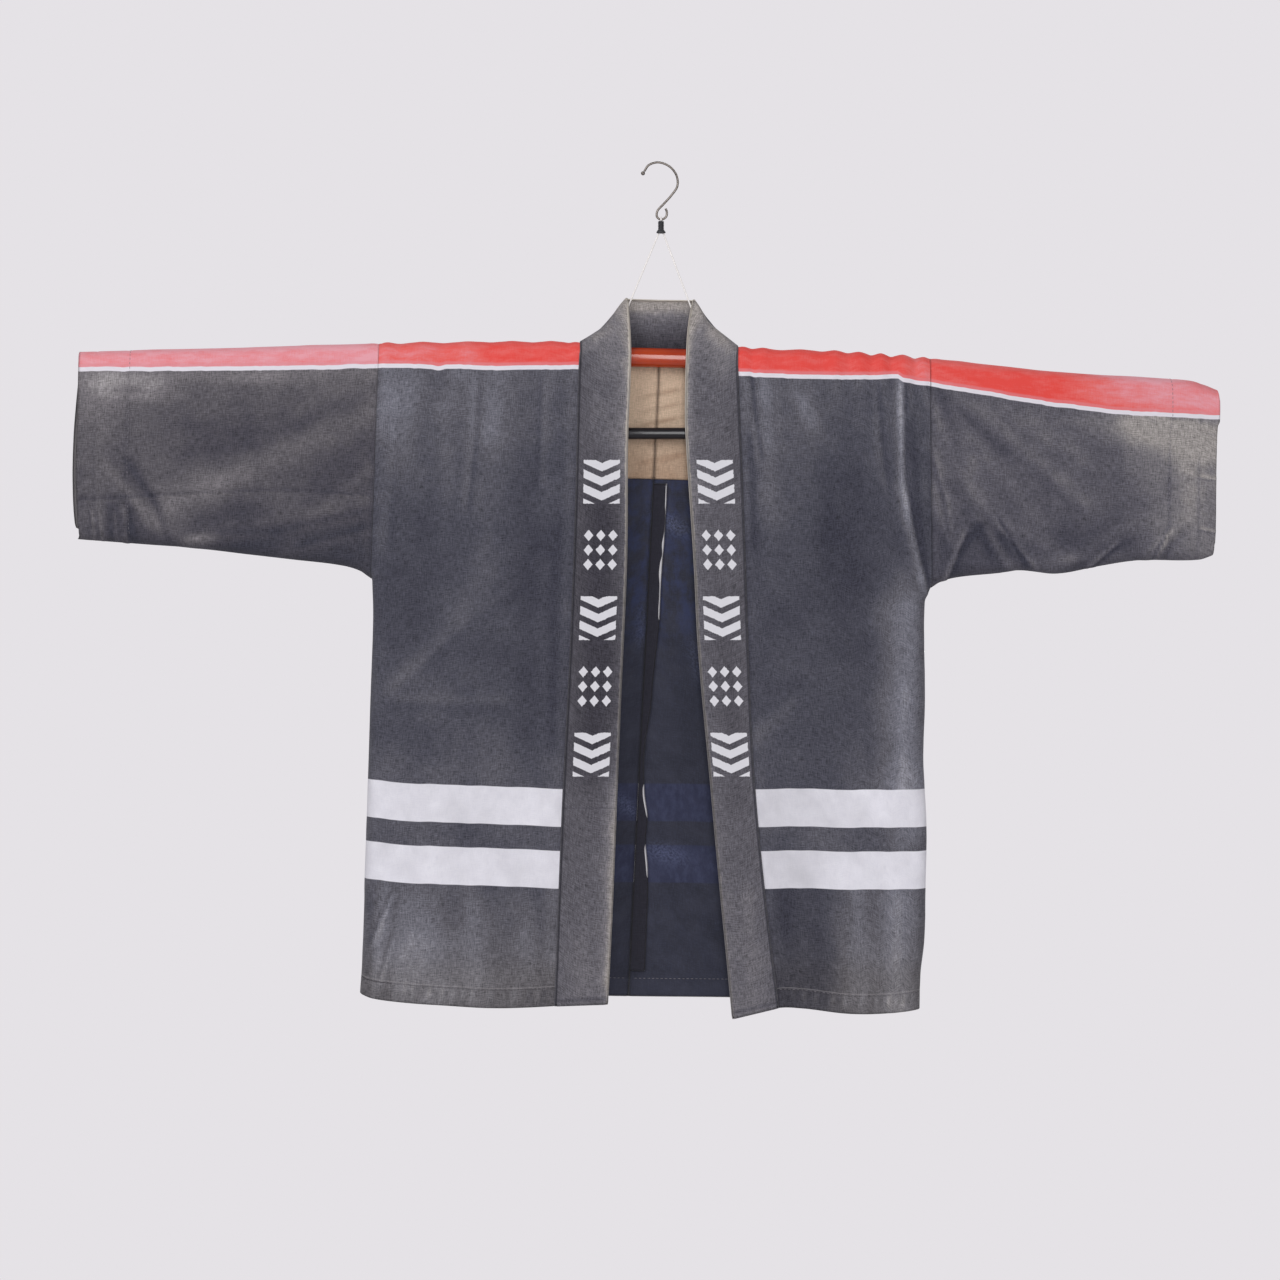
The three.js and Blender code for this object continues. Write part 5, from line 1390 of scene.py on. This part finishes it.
# The part of the centre-back seam whose allowance shows, and its width by height
ALLOWANCE_TOP = -351
ALLOWANCE_BOTTOM = -894
ALLOWANCE_COLUMNS = 11
ALLOWANCE_WIDTH = table("z width", (-893, 15.5), (-850, 15.5), (-787, 14.2), (-747, 9.8), (-718, 10.2),
    (-685, 4.8), (-653, 4), (-625, 5.5), (-600, 8), (-540, 11.5), (-494, 13), (-352, 15))
# Stretches of white selvedge: lowest and highest point, and how much of it shows
SELVEDGE_WIDTH = table("z width", (-792, -1), (-786, 0.9), (-770, 1.6), (-756, 1.1), (-749, -1),
    (-726, -1),
    (-720, 0.9), (-706, 1.7), (-690, 1.2), (-682, -1), (-506, -1), (-502, 0.8), (-480, 1), (-465, 1.1),
    (-452, 2.6),
    (-440, 2), (-432, 0.6), (-420, 2), (-411, 0.9), (-405, 0.1), (-385, 0.2), (-376, 1.1), (-352, 0.9))


def seam_allowance(panel):
    """The pressed seam allowance lies on the right back panel, from the yoke lining down to the hem."""
    rows = len(shares(BODY_LENGTH))
    normals = sheet_normals(panel)[-rows:]
    back = panel[-rows:] - normals * (WALL / 2 + LAYER_GAP + ALLOWANCE_WALL / 2)
    z = back[:, 0, 2]
    keep = (z < ALLOWANCE_TOP) & (z > ALLOWANCE_BOTTOM)
    first, after = back[keep][:, 0], back[keep][:, 8]
    share = np.linspace(0, 1, ALLOWANCE_COLUMNS)[None, :, None]
    wave = 0.5 * soft_noise(z[keep], 0 * z[keep], 22, 61)
    width = (curve(ALLOWANCE_WIDTH, "z", "width", z[keep]) + wave)[:, None]
    direction = unit(after - first)
    grid = first[:, None] + (direction * width)[:, None] * share
    grid[..., 1] -= 0.5 * share[..., 0] ** 2
    selvedge = curve(SELVEDGE_WIDTH, "z", "width", grid[..., 2]) - (1 - share[..., 0]) * width
    materials = [MATERIALS["allowance"]]
    piece = shell("seam_allowance_cloth", grid, ALLOWANCE_WALL, materials, {"selvedge": selvedge})
    finish_piece(piece, "indigo_cotton", "back_seam_allowance")


def lathe(name, outline, material, segments):
    """Turned piece about the Z axis, from a closed outline of height and radius."""
    angles = 2 * np.pi * np.arange(segments) / segments
    height, radius = np.array(outline, float).T[:, :, None]
    vertices = grid_points(radius * np.cos(angles), radius * np.sin(angles), height)
    return make_mesh(name, vertices.reshape(-1, 3), ring_quads(len(outline), segments, True), [material])


def place(piece, matrix, move):
    """Turns and moves a piece's own points, so that its object stays at the origin."""
    points = np.empty(len(piece.data.vertices) * 3)
    piece.data.vertices.foreach_get("co", points)
    points = points.reshape(-1, 3) @ np.array(matrix, float).T + np.array(move, float) * MM
    piece.data.vertices.foreach_set("co", points.ravel())
    piece.data.update()
    return piece


TUBE = {"z": -214.6, "radius": 10.75, "bore": 9.7, "half": 180, "fillet": 0.5, "tilt": -0.027}
OBI_BAR = {"z": -298, "radius": 6.5, "bore": 0, "half": 150, "fillet": 3}
CORD = {"radius": 0.75, "pitch": 5.2, "step": 0.65, "strand": 0.6, "strands": 3, "sides": 8}
CORD_HOLE = {"left": -53, "right": 51}
# Where the cord turns down: its corner lies above the tube's top and the turn ends below it.
# The turn starts at this share of the way from the corner to the toggle.
CORD_BEND = {"above": 2.0, "below": 4.0, "start": 0.05}
TOGGLE = {"x": 1.2, "top": -63.6, "waist": -72.5, "bottom": -77, "radius": 3.3, "flare": 5.2,
    "rim": 0.8, "ribs": 5, "groove": 0.45}
HOOK = {"wire": 1.25, "ball": 2.3, "eye_bottom": -61.9}
CORD_SPREAD = 2.6


def rounded(height, radius, fillet, sign, steps=5):
    """Points of a rounded outer corner, at one end of a turned piece."""
    angles = np.linspace(0, math.pi / 2, steps)[::sign]
    return [(height - sign * fillet * (1 - math.sin(a)), radius - fillet * (1 - math.cos(a)))
        for a in angles]


def turned_rod(name, sizes, material, segments):
    """A rod, or a tube with a bore, about the Z axis with rounded ends."""
    half, radius, bore, fillet = (sizes[key] for key in ("half", "radius", "bore", "fillet"))
    ends = [*rounded(-half, radius, fillet, -1), *rounded(half, radius, fillet, 1)]
    return lathe(name, [(-half, bore), *ends, (half, bore)], material, segments)


def hanger_tube():
    piece = turned_rod("lacquered_tube", TUBE, MATERIALS["red_lacquer"], 72)
    slope = math.atan(TUBE["tilt"])
    cos, sin = math.cos(slope), math.sin(slope)
    place(piece, [(sin, 0, cos), (0, 1, 0), (-cos, 0, sin)], (0, 0, TUBE["z"]))
    return finish_piece(piece, "red_lacquer", "hanger_tube")


def lower_bar():
    piece = turned_rod("lacquered_bar", OBI_BAR, MATERIALS["black_lacquer"], 48)
    place(piece, [(0, 0, 1), (0, 1, 0), (-1, 0, 0)], (0, 0, OBI_BAR["z"]))
    return finish_piece(piece, "black_lacquer", "obi_bar")


def path_frames(path):
    """Two square directions across a path that lies in a plane, at each of its points."""
    tangent = unit(np.gradient(path, axis=0))
    plane = np.cross(path[len(path) // 2] - path[0], path[-1] - path[0])
    side = plane if np.linalg.norm(plane) > 1 else np.array([0.0, 1.0, 0.0])
    side = unit(np.broadcast_to(side, path.shape).astype(float))
    side = unit(side - tangent * np.sum(side * tangent, axis=1, keepdims=True))
    return side, np.cross(tangent, side)


def sweep(path, radius, sides):
    """Points, quads and end triangles of a wire along a path."""
    first, second = path_frames(path)
    angles = 2 * np.pi * np.arange(sides) / sides
    spokes = np.cos(angles)[:, None] * first[:, None] + np.sin(angles)[:, None] * second[:, None]
    vertices = np.concatenate([(path[:, None] + radius * spokes).reshape(-1, 3), path[:1], path[-1:]])
    start, last = len(path) * sides, (len(path) - 1) * sides
    around = np.arange(sides)
    beside = (around + 1) % sides
    near = np.stack([np.full(sides, start), beside, around], axis=-1)
    far = np.stack([np.full(sides, start + 1), last + around, last + beside], axis=-1)
    return vertices, ring_quads(len(path), sides), np.concatenate([near, far])


def sweep_together(name, paths, radius, sides, material):
    """One piece of several wires, each along its own path."""
    vertices, quads, triangles = [], [], []
    count = 0
    for path in paths:
        points, walls, ends = sweep(path, radius, sides)
        vertices.append(points)
        quads.append(walls + count)
        triangles.append(ends + count)
        count += len(points)
    return make_mesh(name, np.concatenate(vertices), np.concatenate(quads), [material],
        triangles=np.concatenate(triangles))


def twisted_cord(name, path, nodes):
    """Three strands twisted round each other along a path."""
    length = np.concatenate([[0], np.linalg.norm(np.diff(path, axis=0), axis=1).cumsum()])
    at = np.linspace(0, length[-1], int(length[-1] / CORD["step"]))
    line = np.stack([np.interp(at, length, path[:, k]) for k in range(3)], axis=-1)
    first, second = path_frames(line)
    reach = CORD["radius"] * 0.5
    paths = []
    for k in range(CORD["strands"]):
        angle = (2 * np.pi * (at / CORD["pitch"] + k / CORD["strands"]))[:, None]
        paths.append(line + reach * (np.cos(angle) * first + np.sin(angle) * second))
    piece = sweep_together(name, paths, CORD["strand"], CORD["sides"], MATERIALS["cord"])
    return finish_piece(piece, "white_cord", *nodes)


def bend(start, control, end, steps=12):
    """Points of a quadratic curve, without its first one."""
    t = np.linspace(0, 1, steps + 1)[1:, None]
    return (1 - t) ** 2 * start + 2 * t * (1 - t) * control + t**2 * end


def cords():
    for side in SIGN:
        sign, hole = SIGN[side], CORD_HOLE[side]
        tube_top = TUBE["z"] + TUBE["tilt"] * hole + TUBE["radius"]
        start = np.array([TOGGLE["x"] + sign * CORD_SPREAD, 0, TOGGLE["bottom"] - LAYER_GAP])
        corner = np.array([hole, 0, tube_top + CORD_BEND["above"]])
        bend_start = mix(corner, start, CORD_BEND["start"])
        bend_end = np.array([hole, 0, tube_top - CORD_BEND["below"]])
        foot = np.array([hole, 0, OBI_BAR["z"] - OBI_BAR["radius"] - LAYER_GAP])
        path = np.concatenate([[start, bend_start], bend(bend_start, corner, bend_end), [foot]])
        twisted_cord(f"twisted_cord_{side}", path, [f"hanger_cord_{side}"])
    reach = HOOK["wire"] + LAYER_GAP + CORD["radius"]
    foot = TOGGLE["top"] + LAYER_GAP
    angles = np.linspace(0, math.pi, 17)
    arc = [(TOGGLE["x"], -reach * math.cos(a), HOOK["eye_bottom"] + reach * math.sin(a)) for a in angles]
    path = np.array([(TOGGLE["x"], -reach, foot), *arc, (TOGGLE["x"], reach, foot)])
    twisted_cord("twisted_cord_loop", path, ["cord_loop"])


def centripetal(points, steps=14):
    """Smooth curve through points whose bends follow their spacing."""
    points = np.asarray(points, float)
    points = np.concatenate([[2 * points[0] - points[1]], points, [2 * points[-1] - points[-2]]])
    line = []
    for p0, p1, p2, p3 in zip(points, points[1:], points[2:], points[3:]):
        before, span, after = (math.sqrt(np.linalg.norm(b - a)) for a, b in ((p0, p1), (p1, p2), (p2, p3)))
        start = ((p1 - p0) / before - (p2 - p0) / (before + span) + (p2 - p1) / span) * span
        end = ((p2 - p1) / span - (p3 - p1) / (span + after) + (p3 - p2) / after) * span
        t = np.linspace(0, 1, steps + 1)[:-1, None]
        line.append(p1 * (2 * t**3 - 3 * t**2 + 1) + start * (t**3 - 2 * t**2 + t)
            + p2 * (3 * t**2 - 2 * t**3) + end * (t**3 - t**2))
    return np.concatenate([*line, points[-2:-1]])


HOOK_BENDS = [(-17.2, -8.6), (-12.4, -1.8), (-1.5, 1.25), (11, -3.6), (18.4, -13.5), (19.2, -25),
    (12.4, -35.5), (4.2, -44.6), (-2.8, -52.6), (-3.2, -58.8), (1.4, -61.9), (6.8, -58.8), (7.6, -53.4),
    (6.3, -49.8)]


def hook():
    path = centripetal([(x, 0, z) for x, z in HOOK_BENDS])
    piece = sweep_together("bent_hook", [path], HOOK["wire"], 16, MATERIALS["steel"])
    finish_piece(piece, "steel_wire", "hanger_hook")
    tangent = unit(path[1] - path[0])
    centre = path[0] - tangent * (HOOK["ball"] + LAYER_GAP)
    angles = np.linspace(-math.pi / 2, math.pi / 2, 15)
    outline = [(HOOK["ball"] * math.sin(a), HOOK["ball"] * math.cos(a) + 1e-4) for a in angles]
    ball = lathe("hook_ball", outline, MATERIALS["steel"], 24)
    place(ball, np.eye(3), centre)
    finish_piece(ball, "steel_wire", "hook_tip")


def toggle():
    """Ribbed barrel with a flared foot that grips the cord."""
    top, waist, bottom = TOGGLE["top"], TOGGLE["waist"], TOGGLE["bottom"]
    radius, flare, rim = TOGGLE["radius"], TOGGLE["flare"], TOGGLE["rim"]
    outline = [(top, 0), (top, radius - rim), (top - 0.5, radius - 0.2)]
    step = (top - rim - waist) / TOGGLE["ribs"]
    for k in range(TOGGLE["ribs"]):
        start = top - rim - k * step
        for share, depth in ((0, 0), (0.55, 0), (0.7, TOGGLE["groove"]), (0.92, TOGGLE["groove"])):
            outline.append((start - share * step, radius - depth))
    outline += [(waist - 1.2, radius + 0.5), (bottom + 1.6, flare - 0.3), (bottom + 0.8, flare),
        (bottom + 0.2, flare - 0.4), (bottom, flare - 1.2), (bottom, 0)]
    piece = lathe("cord_barrel", outline[::-1], MATERIALS["black_plastic"], 32)
    place(piece, np.eye(3), (TOGGLE["x"], 0, 0))
    finish_piece(piece, "black_plastic", "cord_toggle")


def hidden_hanger_parts():
    finishes = {"hanger_slide": "black_lacquer", "hanger_rod": "black_lacquer",
        "hanger_end": "black_plastic", "cord_knot": "cord"}
    for part, material in finishes.items():
        for side in SIGN:
            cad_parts[f"{part}_{side}"].material_slots[0].material = MATERIALS[material]


def stage_material():
    shader = Shader("pale_floor", Roughness=0.9)
    noise = object_noise(shader, 3, 3.0)
    shader.colour_from(shader.ramp(noise, [(0.3, srgb(222, 220, 223)), (0.7, srgb(228, 226, 229))]))
    return shader.material


FLOOR = {"half_width": 3500, "front": -4000, "back": 800, "z": -1500}


def make_stage():
    half, z = FLOOR["half_width"], FLOOR["z"]
    vertices = np.array([(-half, FLOOR["front"], z), (half, FLOOR["front"], z), (half, FLOOR["back"], z),
        (-half, FLOOR["back"], z)], float)
    add_piece("floor", vertices, [(0, 1, 2, 3)], [stage_material()])


BACKGROUND = srgb(229, 226, 230)
WORLD_LIGHT = 0.42
COAT_MIDDLE = (0, 0, -0.55)


def make_world():
    """Pale surroundings: one even shade to look at and a softer one that lights the coat."""
    world = bpy.data.worlds.new("studio")
    bpy.context.scene.world = world
    world.use_nodes = True
    tree = world.node_tree
    light = tree.nodes["Background"]
    light.inputs["Color"].default_value = (1, 0.99, 1, 1)
    light.inputs["Strength"].default_value = WORLD_LIGHT
    seen = tree.nodes.new("ShaderNodeBackground")
    seen.inputs["Color"].default_value = BACKGROUND
    chosen = tree.nodes.new("ShaderNodeMixShader")
    ray = tree.nodes.new("ShaderNodeLightPath")
    tree.links.new(ray.outputs["Is Camera Ray"], chosen.inputs[0])
    tree.links.new(light.outputs[0], chosen.inputs[1])
    tree.links.new(seen.outputs[0], chosen.inputs[2])
    tree.links.new(chosen.outputs[0], tree.nodes["World Output"].inputs["Surface"])


def aim(thing, target):
    x, y, z = np.array(target) - np.array(thing.location)
    tilt = math.atan2(z, math.hypot(x, y))
    thing.rotation_euler = (math.pi / 2 + tilt, 0, math.atan2(y, x) - math.pi / 2)


def area_light(name, location, width, height, power):
    light = bpy.data.lights.new(name, "AREA")
    light.shape = "RECTANGLE"
    light.size, light.size_y = width, height
    light.energy = power
    lamp = add_object(name, light)
    lamp.location = location
    aim(lamp, COAT_MIDDLE)


def make_lights():
    area_light("key", (-2.2, -2.6, 1.3), 1.6, 1.6, 42)
    area_light("window", (0.3, -4.3, 0.25), 0.9, 3.6, 70)
    area_light("behind", (0.6, 3.2, 1.2), 2.0, 2.0, 50)


CAMERA = {"x": -0.022, "z": -0.526, "distance": 4.2, "frame_width": 1.413, "sensor": 36}


def make_camera():
    camera = bpy.data.cameras.new("camera")
    camera.sensor_width = CAMERA["sensor"]
    camera.lens = CAMERA["sensor"] * CAMERA["distance"] / CAMERA["frame_width"]
    view = add_object("camera", camera)
    view.location = (CAMERA["x"], -CAMERA["distance"], CAMERA["z"])
    view.rotation_euler = (math.pi / 2, 0, 0)
    bpy.context.scene.camera = view


def main():
    make_camera()
    make_world()
    make_lights()
    make_stage()
    bpy.context.scene.view_settings.view_transform = "Standard"
    for side in SIGN:
        panel = body_panel(side)
        sleeve(side)
        yoke_lining(side, panel)
        if side == "right":
            seam_allowance(panel)
    collar()
    hanger_tube()
    lower_bar()
    cords()
    hook()
    toggle()
    hidden_hanger_parts()


main()
